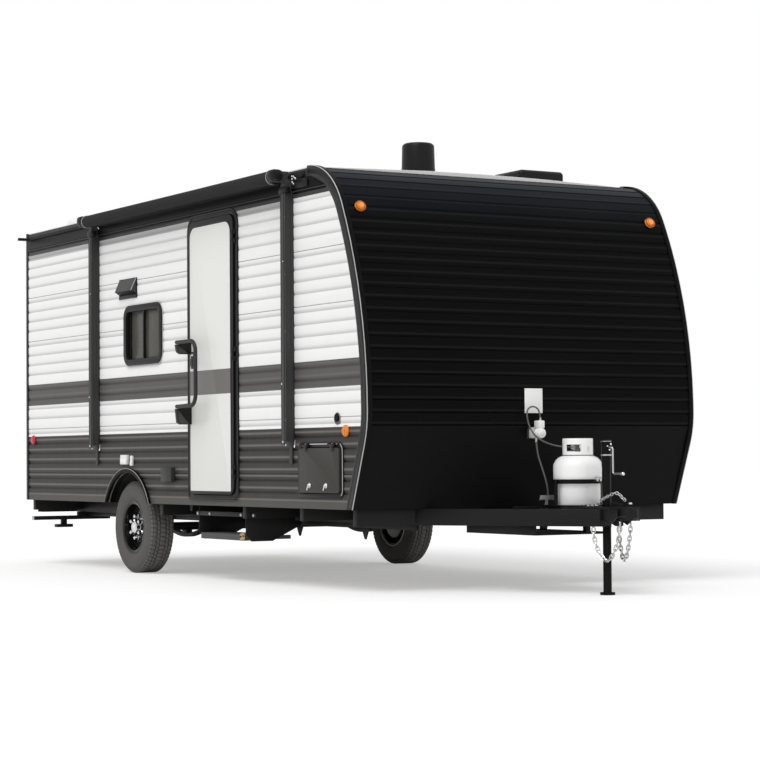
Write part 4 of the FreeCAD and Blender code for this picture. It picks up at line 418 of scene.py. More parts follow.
def glass(name, colour):
    """Dark tinted glass with lighter vertical bands of painted reflection."""
    finish = Finish(name, Coat_Roughness=0.10, Coat_Weight=0.15, Specular_IOR_Level=0.2)
    # Lighter vertical bands: painted reflection on the pane
    across = finish.noise(3.2, 2.0, (2.4, 2.4, 0.25))
    finish.set(Base_Color=finish.toned(colour, 0.22, across), Roughness=0.22 + across * 0.10)
    finish.bump(finish.noise(2.0, 2.0), 0.0006)
    return finish


# Modelling steps, each on the active mesh. They take millimetres, and a test of a spot reads metres
MM = 0.001
AXES = {"x": Vector((1, 0, 0)), "y": Vector((0, 1, 0)), "z": Vector((0, 0, 1))}
SIDES = (-1, 1)
TURN = 2 * math.pi
SHARP = 0.6     # the least angle of an edge that is eased or drawn sharp, in radians
SAME = 1e-5     # points nearer than this are one, in metres


def clear(item=None):
    """Deselects everything, and selects the item if there is one."""
    if bpy.context.object and bpy.context.object.mode != "OBJECT":
        bpy.ops.object.mode_set(mode="OBJECT")
    bpy.ops.object.select_all(action="DESELECT")
    if item:
        item.select_set(True)
        bpy.context.view_layer.objects.active = item


def edit(item):
    """Opens an item with all of its mesh selected."""
    clear(item)
    bpy.ops.object.mode_set(mode="EDIT")
    bpy.ops.mesh.select_all(action="SELECT")


def called(item, name):
    item.name = item.data.name = name
    return item


def begin(name, kind, **settings):
    """Adds a primitive at its size and place, and opens it for shaping."""
    clear()
    getattr(bpy.ops.mesh, f"primitive_{kind}_add")(**settings)
    item = called(bpy.context.object, name)
    bpy.ops.object.transform_apply(location=True, rotation=True, scale=True)
    bpy.ops.object.mode_set(mode="EDIT")
    bpy.ops.mesh.select_mode(type="VERT")
    bpy.ops.mesh.select_all(action="SELECT")
    return item


def pick(kind, test):
    """Selects the faces or corners that pass a test."""
    bpy.ops.mesh.select_mode(type=kind)
    bpy.ops.mesh.select_all(action="DESELECT")
    shape = bmesh.from_edit_mesh(bpy.context.object.data)
    for part in shape.faces if kind == "FACE" else shape.verts:
        if test(part):
            part.select_set(True)
    shape.select_flush_mode()
    bmesh.update_edit_mesh(bpy.context.object.data)


def cut(axis, height):
    """Cuts the open mesh across an axis at a height in metres."""
    bpy.ops.mesh.select_all(action="SELECT")
    bpy.ops.mesh.bisect(plane_co=AXES[axis] * height, plane_no=AXES[axis])


def draw(name, points, closed=False):
    """Draws a line from point to point; a closed one becomes a face."""
    points = [Vector(point) * MM for point in points]
    begin(name, "plane", size=0.01, location=points[0])
    bpy.ops.mesh.merge(type="CENTER")
    for start, end in zip(points, points[1:]):
        bpy.ops.mesh.extrude_vertices_move(TRANSFORM_OT_translate={"value": end - start})
    bpy.ops.mesh.select_all(action="SELECT")
    if closed:
        bpy.ops.mesh.edge_face_add()


def change(kind, **settings):
    """Adds a modifier to the active object and applies it."""
    bpy.ops.object.modifier_add(type=kind)
    modifier = bpy.context.object.modifiers[-1]
    for word, value in settings.items():
        setattr(modifier, word, value)
    bpy.ops.object.modifier_apply(modifier=modifier.name)


def smoothed(finish, ease=0, smooth=SHARP, steps=2):
    """Eases the active item's edges, smooths its shading and gives it its finish."""
    if ease:
        change("BEVEL", width=ease * MM, segments=steps, limit_method="ANGLE", angle_limit=SHARP)
    bpy.ops.object.shade_smooth_by_angle(angle=smooth)
    return coat(bpy.context.object, finish)


def close(finish, ease=0, smooth=SHARP):
    """Merges doubles, turns faces outwards and leaves edit mode."""
    bpy.ops.mesh.select_all(action="SELECT")
    bpy.ops.mesh.remove_doubles(threshold=SAME)
    bpy.ops.mesh.normals_make_consistent(inside=False)
    bpy.ops.object.mode_set(mode="OBJECT")
    return smoothed(finish, ease, smooth)


def slab(name, finish, points, shift, ease=2, smooth=SHARP):
    """A plate from its outline, pushed out to a thickness."""
    draw(name, points, closed=True)
    bpy.ops.mesh.extrude_region_move(TRANSFORM_OT_translate={"value": Vector(shift) * MM})
    return close(finish, ease, smooth)


def block(name, finish, low, high, ease=3):
    """A block between two corners with its edges eased."""
    low, high = Vector(low) * MM, Vector(high) * MM
    begin(name, "cube", size=1, location=(low + high) / 2, scale=high - low)
    return close(finish, ease)


def turned(name, finish, profile, centre, axis="z", steps=48, smooth=SHARP):
    """A round piece from a profile of radius and height pairs about an axis."""
    centre = Vector(centre)
    out = AXES["z" if axis != "z" else "x"]
    draw(name, [centre + out * radius + AXES[axis] * height for radius, height in profile])
    bpy.ops.mesh.spin(steps=steps, angle=TURN, center=centre * MM, axis=AXES[axis])
    return close(finish, 0, smooth)


def rod(name, finish, points, radius, sides=3, ring=False):
    """A round bar along a drawn line; a ring joins its ends."""
    draw(name, points)
    if ring:
        pick("VERT", lambda corner: len(corner.link_edges) == 1)
        bpy.ops.mesh.edge_face_add()
    bpy.ops.object.mode_set(mode="OBJECT")
    bpy.ops.object.convert(target="CURVE")
    line = bpy.context.object.data
    line.bevel_depth = radius * MM
    line.bevel_resolution = sides
    line.use_fill_caps = True
    bpy.ops.object.convert(target="MESH")
    bpy.ops.object.mode_set(mode="EDIT")
    return close(finish, 0, 0.9)


def flat(axis, place, pairs):
    """Points in a plane across an axis, from their other two coordinates."""
    rank = "xyz".index(axis)
    return [(*pair[:rank], place, *pair[rank:]) for pair in pairs]


def oblong(low, high):
    """The corners of a rectangle, as pairs."""
    return [(low[0], low[1]), (high[0], low[1]), (high[0], high[1]), (low[0], high[1])]


def circle(centre, across, up, count=24):
    """Points round a circle, from its middle and the two radii that span it."""
    turns = [TURN * i / count for i in range(count)]
    return [centre + across * math.cos(turn) + up * math.sin(turn) for turn in turns]


def bends(points, radius, steps=5):
    """Rounds the inner corners of a path."""
    points = [Vector(p) for p in points]
    path = [points[0]]
    for before, corner, after in zip(points, points[1:], points[2:]):
        back, ahead = (before - corner).normalized(), (after - corner).normalized()
        half = back.angle(ahead) / 2
        reach = min(radius / math.tan(half), (before - corner).length / 2.01, (after - corner).length / 2.01)
        centre = corner + (back + ahead).normalized() * reach / math.cos(half)
        start, end = corner + back * reach - centre, corner + ahead * reach - centre
        path += [centre + start.slerp(end, i / steps).normalized() * start.length for i in range(steps + 1)]
    return path + [points[-1]]


def rounded(low, high, corner, y, steps=6, foot=None):
    """A rounded rectangle in the plane of a side wall, from the corners (x, z)."""
    foot = corner if foot is None else foot
    points = []
    for x, z, start, radius in (
            (high[0], high[1], 0, corner), (low[0], high[1], 90, corner),
            (low[0], low[1], 180, foot), (high[0], low[1], 270, foot)):
        middle_x = x - math.copysign(radius, x - (low[0] + high[0]) / 2)
        middle_z = z - math.copysign(radius, z - (low[1] + high[1]) / 2)
        for i in range(steps + 1):
            angle = math.radians(start + 90 * i / steps)
            points.append((middle_x + radius * math.cos(angle), y, middle_z + radius * math.sin(angle)))
    return points


def bead(name, finish, ends, inset, corner, y, radius, **shape):
    """A round bead that follows a frame's outline, set in from it."""
    (left, foot), (right, top) = [(end.x, end.z) for end in ends]
    outline = rounded((left + inset, foot + inset), (right - inset, top - inset), corner, y, **shape)
    return rod(name, finish, outline, radius, ring=True)


def joined(name, items):
    clear()
    for item in items:
        item.select_set(True)
    bpy.context.view_layer.objects.active = items[0]
    bpy.ops.object.join()
    return called(items[0], name)


def again(item, shift=(0, 0, 0)):
    """A copy with its own mesh, moved by a shift in metres."""
    clear(item)
    bpy.ops.object.duplicate()
    bpy.ops.transform.translate(value=shift)
    bpy.ops.object.transform_apply(location=True, rotation=True, scale=True)
    return bpy.context.object


def ringed(item, count, centre):
    """Repeats a shape round a wheel's axis within its own mesh."""
    edit(item)
    bpy.ops.mesh.spin(steps=count, angle=TURN, center=centre * MM, axis=AXES["y"], dupli=True)
    bpy.ops.mesh.select_all(action="SELECT")
    bpy.ops.mesh.remove_doubles(threshold=1e-6)
    bpy.ops.object.mode_set(mode="OBJECT")
    return item


def traced(name, finish, node, ease=0, smooth=SHARP, only=None, steps=2):
    """A merged copy of a node's mesh with its flat faces joined and its edges eased."""
    item = bpy.data.objects.new(name, cad_nodes[node].data.copy())
    bpy.context.collection.objects.link(item)
    edit(called(item, name))
    bpy.ops.mesh.customdata_custom_splitnormals_clear()
    bpy.ops.mesh.remove_doubles(threshold=SAME)
    if only:
        pick("VERT", lambda corner: not only(corner.co))
        bpy.ops.mesh.delete(type="VERT")
    bpy.ops.mesh.select_all(action="SELECT")
    bpy.ops.mesh.dissolve_limited(angle_limit=0.02)
    bpy.ops.object.mode_set(mode="OBJECT")
    return smoothed(finish, ease, smooth, steps)


def corners(node):
    """The lowest and highest corner of a node, in millimetres."""
    return [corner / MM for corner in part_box(node)]


def extent(node, test):
    """The lowest and highest corner, in millimetres, of a node's points that pass a test."""
    points = [v.co for v in cad_nodes[node].data.vertices if test(v.co)]
    return [Vector([end(p[i] for p in points) for i in range(3)]) / MM for end in (min, max)]


def recoat(item, finish, test):
    """Gives the faces whose middle passes a test a second finish."""
    item.data.materials.append(bpy.data.materials[finish])
    for face in item.data.polygons:
        if test(face.center):
            face.material_index = len(item.data.materials) - 1


def coat(item, finish):
    item.data.materials.clear()
    item.data.materials.append(bpy.data.materials[finish])
    return item


def fit(item, slot, *nodes, body="caravan"):
    """Hangs a piece on the body that it rides on and hides the nodes that it stands for; the slot is not used."""
    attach(item, body)
    if nodes:
        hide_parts(*nodes)


def fit_set(name, items, slot, *nodes, body="caravan"):
    fit(joined(name, items), slot, *nodes, body=body)


def dress(name, finish, node, slot, ease=0, smooth=SHARP, steps=2, body="caravan"):
    """A piece that is one node's own mesh, eased and finished."""
    fit(traced(name, finish, node, ease, smooth, steps=steps), slot, node, body=body)


def nose_line(sizes, y, out=0, steps=10):
    """Points up the front wall's outline, moved outwards, from its foot to the roof."""
    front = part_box("siding_front")[1].x
    lean = math.asin((sizes.roof_height - sizes.brow_height - sizes.nose_height) / sizes.nose_radius)
    brow = sizes.brow_height / (1 - math.sin(lean))
    shoulder = front - sizes.nose_radius * (1 - math.cos(lean))
    arcs = (
        (front - sizes.toe_radius, sizes.nose_height, sizes.toe_radius, -sizes.toe_angle, 0.0, 4),
        (front - sizes.nose_radius, sizes.nose_height, sizes.nose_radius, 0.0, lean, steps),
        (shoulder - brow * math.cos(lean), sizes.roof_height - brow, brow, lean, math.pi / 2, steps),
    )
    points = []
    for x, z, radius, start, end, count in arcs:
        for i in range(1 if points else 0, count + 1):
            angle = start + (end - start) * i / count
            reach = radius + out * MM
            points.append((x + reach * math.cos(angle), z + reach * math.sin(angle)))
    x, z = points[0]
    foot = (x - (z - sizes.body_low) * math.tan(sizes.toe_angle), sizes.body_low)
    return [Vector((x / MM, y, z / MM)) for x, z in [foot, *points]]


# Places that several pieces share, in millimetres
WHEEL_X = -1165
WALL_Y = 1218.5
NOSE_X = 2291.5
JACK_X = 3003

# Shapes of a rib's groove and of a seam: heights over its middle in metres, and shares of its full depth
SOFT_GROOVE = ((-0.010, 0), (-0.004, 0.6), (0, 1), (0.006, 0.75), (0.018, 0.28), (0.030, 0))
SEAM_GROOVE = ((-0.0035, 0), (-0.0015, 1), (0.0015, 1), (0.004, 0.2), (0.012, 0))


# Operators
class CARAVAN_OT_finishes(bpy.types.Operator):
    """Mixes the paints, metals, rubbers and lenses"""

    bl_idname = "caravan.finishes"
    bl_label = "Mix the Finishes"

    def execute(self, context):
        colours = context.scene.caravan_colours
        sizes = context.scene.caravan_sizes
        siding_paint(colours, sizes)
        nose_paint(colours, sizes)
        door_paint(colours, sizes)
        dull = {"Specular_IOR_Level": 0.18}
        dark = {"Specular_IOR_Level": 0.10}
        for name, colour, share, roughness, spread, grain, depth, values in (
                ("chassis_paint", colours.chassis, 1, 0.42, 0.30, 90, 0.0006, dull),
                ("moulding_plastic", colours.moulding, 1, 0.34, 0.16, 140, 0.0003, dull),
                ("frame_grey", colours.moulding, 4.5, 0.36, 0.14, 140, 0.0003, dull),
                ("cover_grey", colours.moulding, 3.8, 0.40, 0.14, 140, 0.0003, dull),
                ("hatch_paint", colours.hatch, 1, 0.40, 0.07, 110, 0.0003, dull),
                ("lid_plastic", colours.siding_white, 1, 0.45, 0.05, 40, 0.0004, {}),
                ("cylinder_paint", colours.gas_white, 1, 0.26, 0.02, 70, 0.0002, {"Coat_Weight": 0.3}),
                ("cabin_board", colours.cabin, 1, 0.60, 0.20, 60, 0.0006, {}),
                # Two copies of the arm's coat: the lighter one paints light on the arms' ribbed faces
                ("arm_coat", colours.awning_arm, 1.9, 0.40, 0.18, 150, 0.0004, dull),
                ("arm_face", colours.awning_arm, 2.6, 0.38, 0.14, 150, 0.0004, dull),
                # Darker than the moulding: for black parts, and for painted shade in openings, recesses and under
                # the awning roll
                ("black_and_shade", colours.moulding, 0.25, 0.42, 0.20, 140, 0.0003, dark),
                ("jack_paint", colours.chassis, 0.45, 0.40, 0.25, 90, 0.0005, {"Specular_IOR_Level": 0.12}),
                ("outlet_white", colours.gas_white, 0.86, 0.40, 0.04, 120, 0.0003, {}),
                ("hood_face", colours.moulding, 6.5, 0.40, 0.12, 140, 0.0003, dull),
                ("fascia_grey", colours.fascia, 1, 0.40, 0.10, 60, 0.0003, dull),
                ("arm_foot", colours.siding_low, 1, 0.40, 0.14, 150, 0.0004, dull),
                ("wheel_paint", colours.moulding, 0.5, 0.18, 0.25, 60, 0.0003, {"Coat_Weight": 0.25, **dull}),
                # Light grey for beads, and for painted highlights along edges
                ("bead_and_highlight_white", (0.42, 0.42, 0.42), 1, 0.30, 0.35, 26, 0.0003, {}),
                # Grey for the painted highlight along the wheel arches
                ("highlight_grey", (0.26, 0.26, 0.26), 1, 0.34, 0.30, 26, 0.0003, {}),
                ("plate_white", (0.86, 0.86, 0.84), 1, 0.45, 0.05, 120, 0.0002, {})):
            painted(name, shade(colour, share), roughness, spread, grain, depth, **values)
        metal("zinc_plate", colours.bright_metal, 0.30)
        metal("chrome", (0.86, 0.86, 0.86), 0.10)
        metal("brass_plate", colours.brass, 0.30)
        metal("worn_steel", shade(colours.bright_metal, 0.35), 0.45)
        cloth("rolled_cloth", colours.awning)
        lens("amber_lens", colours.amber)
        # A deeper amber ring, and a lighter heart that is a painted highlight in the middle of each lamp
        lens("amber_ring", shade(colours.amber, 0.45))
        lens("amber_heart", tuple(min(1.0, value * 1.6 + 0.06) for value in colours.amber))
        lens("red_lens", colours.red)
        rubber("tyre_rubber", colours.rubber, 0.72)
        rubber("tread_rubber", shade(colours.rubber, 1.45), 0.72)
        rubber("hose_rubber", shade(colours.rubber, 0.30), 0.40)
        rubber("gas_line_rubber", shade(colours.rubber, 1.1), 0.38)
        grip("grip_paint", shade(colours.chassis, 6.0))
        glass("tinted_glass", colours.glass)
        return {"FINISHED"}


class CARAVAN_OT_siding(bpy.types.Operator):
    """Presses the ribs into the sheets of siding and sets the front wall's skin"""

    bl_idname = "caravan.siding"
    bl_label = "Fit the Siding"

    def ribbed(self, sizes, name, node, axis, side):
        """Cuts a skin's flat back into strips at each rib, and presses them out."""
        item = traced(name, "siding_paint", node)
        bpy.ops.object.mode_set(mode="EDIT")
        pick("FACE", lambda face: face.normal[axis] * side > -0.99)
        bpy.ops.mesh.delete(type="FACE")
        grooves = []
        seam = sizes.seam_height
        while seam > sizes.body_low:
            seam -= sizes.course_height
        while seam < sizes.fascia_low:
            grooves.append((seam, SEAM_GROOVE))
            seam += sizes.course_height
            grooves += [(seam - (i + 0.5) * sizes.rib_pitch, SOFT_GROOVE) for i in range(4)]
        lowest, highest = sizes.foot_high + 0.02, sizes.fascia_low - 0.01
        levels = sorted(
            (height + rise, depth * sizes.rib_depth)
            for height, shape in grooves if lowest < height < highest for rise, depth in shape)
        for height, _ in levels:
            cut("z", height)
        bpy.ops.mesh.select_all(action="SELECT")
        bpy.ops.mesh.flip_normals()
        lift = 0.0003
        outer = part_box(node)[1 if side > 0 else 0][axis] - side * lift
        shape = bmesh.from_edit_mesh(item.data)
        for corner in shape.verts:
            depth = 0
            for (low, first), (high, second) in zip(levels, levels[1:]):
                if low - SAME <= corner.co.z <= high + SAME:
                    share = (corner.co.z - low) / max(high - low, 1e-6)
                    depth = first + (second - first) * min(max(share, 0), 1)
                    break
            corner.co[axis] = outer - side * depth
        bmesh.update_edit_mesh(item.data)
        bpy.ops.object.mode_set(mode="OBJECT")
        change("SOLIDIFY", thickness=0.0015, offset=-1)
        bpy.ops.object.shade_smooth_by_angle(angle=0.7)
        fit(item, "siding_white", node)

    def execute(self, context):
        sizes = context.scene.caravan_sizes
        for word, axis, side in (("right", 1, -1), ("left", 1, 1), ("rear", 0, -1)):
            self.ribbed(sizes, f"siding_sheets_{word}", f"siding_{word}", axis, side)
        dress("nose_skin", "nose_paint", "siding_front", "nose_black", smooth=0.45)
        mouldings = traced("corner_mouldings", "moulding_plastic", "corner_trims", 1.2, 0.5)
        recoat(mouldings, "black_and_shade", lambda spot: abs(spot.y) < 1.2225 and spot.x > 1.4)
        fit(mouldings, "trim_black", "corner_trims")
        beads, flanges = [], []
        for side in SIDES:
            y = side * (corners("corner_trims")[1].y - 2)
            beads.append(rod("corner_bead", "bead_and_highlight_white", nose_line(sizes, y, 3), 3.4))
            for finish, first, second, proud in (("frame_grey", -74, -44, 3), ("moulding_plastic", -46, -10, 5)):
                outline = nose_line(sizes, side * 1218.8, second) + nose_line(sizes, side * 1218.8, first)[::-1]
                flanges.append(slab("corner_flange", finish, outline, (0, side * proud, 0), 0.8))
            for reach in (-52, -62):
                flanges.append(rod("flange_line", "cover_grey", nose_line(sizes, side * 1221.8, reach), 1.8))
        fit_set("corner_inserts", beads, "trim_black")
        fit_set("corner_flanges", flanges, "trim_black")
        return {"FINISHED"}


class CARAVAN_OT_shell(bpy.types.Operator):
    """Finishes the walls, the floor, the roof and what stands on it"""

    bl_idname = "caravan.shell"
    bl_label = "Finish the Shell"

    def execute(self, context):
        for node in ("side_wall_right", "side_wall_left", "front_wall", "rear_wall", "floor"):
            coat(cad_nodes[node], "cabin_board")
        coat(cad_nodes["wheel_wells"], "moulding_plastic")
        # Painted shade: the walls and the floor inside the wheel arches are darkened
        for node in ("side_wall_right", "side_wall_left", "floor"):
            recoat(cad_nodes[node], "black_and_shade", lambda spot: abs(spot.x - WHEEL_X * MM) < 0.47 and spot.z < 0.80)
        dress("roof_sheet", "lid_plastic", "roof", "roof_skin", 2, 0.3)
        outline = flat("x", NOSE_X - 1, oblong((-95.6, 1091), (37.7, 1243.5)))
        plate = [slab("nose_plate", "plate_white", outline, (2, 0, 0), 0.6)]
        for y in (-88.6, 30.7):
            for z in (1098, 1236.5):
                plate.append(turned("plate_rivet", "zinc_plate", [
                    (3.4, 0), (3, 1.2), (1.8, 1.9), (0, 2)], (NOSE_X + 0.5, y, z), "x", 12))
        fit_set("nose_plate_set", plate, "fitting_black")
        dress("gutter_channels", "moulding_plastic", "roof_gutters", "gutter_white", 1)
        vents = [
            traced("roof_vent_front", "moulding_plastic", "roof_vents", 12, only=lambda spot: spot.x > 1),
            traced("roof_vent_rest", "lid_plastic", "roof_vents", 12, only=lambda spot: spot.x < 1)]
        fit_set("roof_lids", vents, "roof_plastic", "roof_vents")
        shroud = [traced("air_unit", "lid_plastic", "air_conditioner", 35, steps=4)]
        low, high = corners("air_conditioner")
        for i in range(9):
            x = low.x + 90 + i * 35
            for side in SIDES:
                outline = flat("y", side * (high.y - 1.5), oblong((x, low.z + 70), (x + 18, high.z - 60)))
                shroud.append(slab("air_slot", "lid_plastic", outline, (0, side * 3, 0), 1))
        fit_set("air_unit_shroud", shroud, "roof_plastic", "air_conditioner")
        low, high = corners("antenna")
        centre = ((low.x + high.x) / 2, (low.y + high.y) / 2, low.z)
        tall, radius = high.z - low.z, (high.x - low.x) / 2
        dome = turned("antenna_dome", "moulding_plastic", [
            (0, 0), (radius, 0), (radius, 6), (radius - 3, 10), (radius - 4, 60), (radius - 2, 62),
            (radius - 2, 68), (radius - 4, 70), (radius - 8, tall - 22), (radius - 12, tall - 12),
            (radius - 24, tall - 3), (radius - 45, tall), (0, tall)], centre, steps=64)
        fit(dome, "roof_plastic", "antenna")
        return {"FINISHED"}


class CARAVAN_OT_windows(bpy.types.Operator):
    """Builds the window frames with their beads, bars and tinted panes"""

    bl_idname = "caravan.windows"
    bl_label = "Glaze the Windows"

    def execute(self, context):
        dress("window_surrounds", "moulding_plastic", "window_frames", "window_black", 4, steps=3)
        dress("window_panes", "tinted_glass", "window_glass", "window_glass", 1)
        beads, bars = [], []
        for side in SIDES:
            low, high = extent("window_frames", lambda spot: spot.y * side > 1.1 and spot.x > -3)
            beads.append(bead("window_bead", "bead_and_highlight_white", (low, high), 0, 88, side * 1220.5, 3.5))
            bars.append(bead("window_seal", "frame_grey", (low, high), 36, 52, side * 1230.5, 2.8))
            middle, y = (low.x + high.x) / 2, side * 1208.5
            bars.append(block("window_bar", "black_and_shade", (middle - 1.8, y - 4, low.z + 35),
                              (middle + 1.8, y + 4, high.z - 35), 0.8))
            # A dark strip in the frame's reveal: painted shade
            bars.append(block("window_reveal_shade", "black_and_shade", (low.x + 40, y - 3, low.z + 40),
                              (low.x + 88, y + 3, high.z - 40), 1))
        fit_set("window_beads", beads, "window_black")
        fit_set("window_seals", bars, "window_black")
        return {"FINISHED"}


class CARAVAN_OT_door(bpy.types.Operator):
    """Builds the entry door's frame, leaf, panel, latch and grab handle"""

    bl_idname = "caravan.door"
    bl_label = "Hang the Door"

    def execute(self, context):
        dress("door_surround", "moulding_plastic", "door_frame", "door_trim", 3)
        beads = [
            bead("door_bead", "frame_grey", corners("door_frame"), 6, 110, -1227.5, 3.5, foot=30),
            bead("door_bead", "frame_grey", corners("door_frame"), 20, 98, -1228, 2.2, foot=20)]
        fit_set("door_frame_lines", beads, "door_trim")
        dress("door_leaf", "moulding_plastic", "entry_door", "door_trim", 4, steps=3, body="entry_door")
        outline = rounded((-80, 606), (526, 2398), 74, -1238.5, 8, foot=4)
        fit(slab("door_panel", "door_paint", outline, (0, -3.5, 0), 1.2), "door_white", body="entry_door")
        outline = rounded((-85, 601), (531, 2403), 78, -1239.8, 8, foot=6)
        fit(rod("door_panel_edging", "frame_grey", outline, 2.2, ring=True), "door_trim", body="entry_door")
        hardware = []
        for foot, seat in ((1538, 1618), (1058, 1180)):
            outline = flat("x", -104, [
                (-1239.5, foot), (-1318, foot), (-1340, foot + 14), (-1350, seat - 14.5), (-1322, seat - 14.5),
                (-1320, seat + 14.5), (-1239.5, seat + 24)])
            hardware.append(slab("handle_bracket", "moulding_plastic", outline, (46, 0, 0), 3))
            # A lighter sliver on the bracket's side: painted light where the side faces the light
            outline = flat("x", -58.2, [
                (-1344, seat - 24), (-1337, foot + 16), (-1317, foot + 4), (-1262, foot + 4)])
            hardware.append(slab("bracket_highlight", "hood_face", outline, (1.2, 0, 0), 0.4))
            for z in (foot + 18, foot + 74):
                hardware.append(turned("bracket_screw", "zinc_plate", [
                    (6, 0), (5.6, -1.6), (3.6, -2.8), (0, -3)], (-50, -1238.8, z), "y", 16))
        hardware += [
            block("latch_case", "moulding_plastic", (-46, -1256, 1436), (16, -1239, 1552), 5),
            block("latch_paddle", "frame_grey", (-36, -1268, 1452), (6, -1255, 1506), 4),
            turned("latch_lock", "chrome", [
                (11.5, 0), (11, -3), (7, -3.6), (7, -2), (0, -2)], (-15, -1255.5, 1532), "y", 24)]
        body = cad_nodes["door_fittings"]["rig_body"]
        fit_set("door_hardware", hardware, "fitting_black", "door_fittings", body=body)
        path = bends(flat("y", -1346, [(-76, 1618), (218, 1618), (218, 1180), (-76, 1180)]), 75, 8)
        fit(rod("handle_bar", "hose_rubber", path, 13.5, 6), "handle_black", "grab_handle", body="grab_handle")
        return {"FINISHED"}


class CARAVAN_OT_hatch(bpy.types.Operator):
    """Builds the cargo hatch with its frame, hinge rail and latches"""

    bl_idname = "caravan.hatch"
    bl_label = "Hang the Hatch"

    def execute(self, context):
        dress("hatch_surround", "moulding_plastic", "hatch_frame", "door_trim", 3)
        dress("hatch_leaf", "hatch_paint", "cargo_hatch", "hatch_white", 4, steps=3, body="cargo_hatch")
        low, high = corners("hatch_frame")
        # Painted highlights: a light line on the frame's top and right edges, and along the hinge rail
        edge = rounded((low.x + 5, low.z + 5), (high.x - 5, high.z - 5), 55, -1226.5)
        fit(rod("hatch_edge_highlight", "bead_and_highlight_white", edge[-4:] + edge[:5], 2.8), "door_trim")
        rail = flat("y", -1227.5, [(low.x + 60, high.z - 12), (high.x - 70, high.z - 12)])
        fit(rod("hinge_rail", "bead_and_highlight_white", rail, 4.5), "door_trim")
        low, high = corners("cargo_hatch")
        foot = low.z
        latches = []
        for x in (low.x + 133, high.x - 161):
            latches.append(turned("latch_rose", "chrome", [
                (0, 0), (17, 0), (17, -2), (15, -4), (9, -4.5), (9, -10), (7.5, -12), (0, -12)],
                (x, -1235.5, foot + 45), "y", 28))
            tab = flat("y", -1245.5, [
                (x - 5, foot + 50), (x + 6, foot + 50), (x - 8, foot + 14), (x - 17, foot + 17)])
            latches.append(slab("latch_tab", "chrome", tab, (0, -4, 0), 1))
        fit_set("hatch_latches", latches, "zinc", body="cargo_hatch")
        return {"FINISHED"}


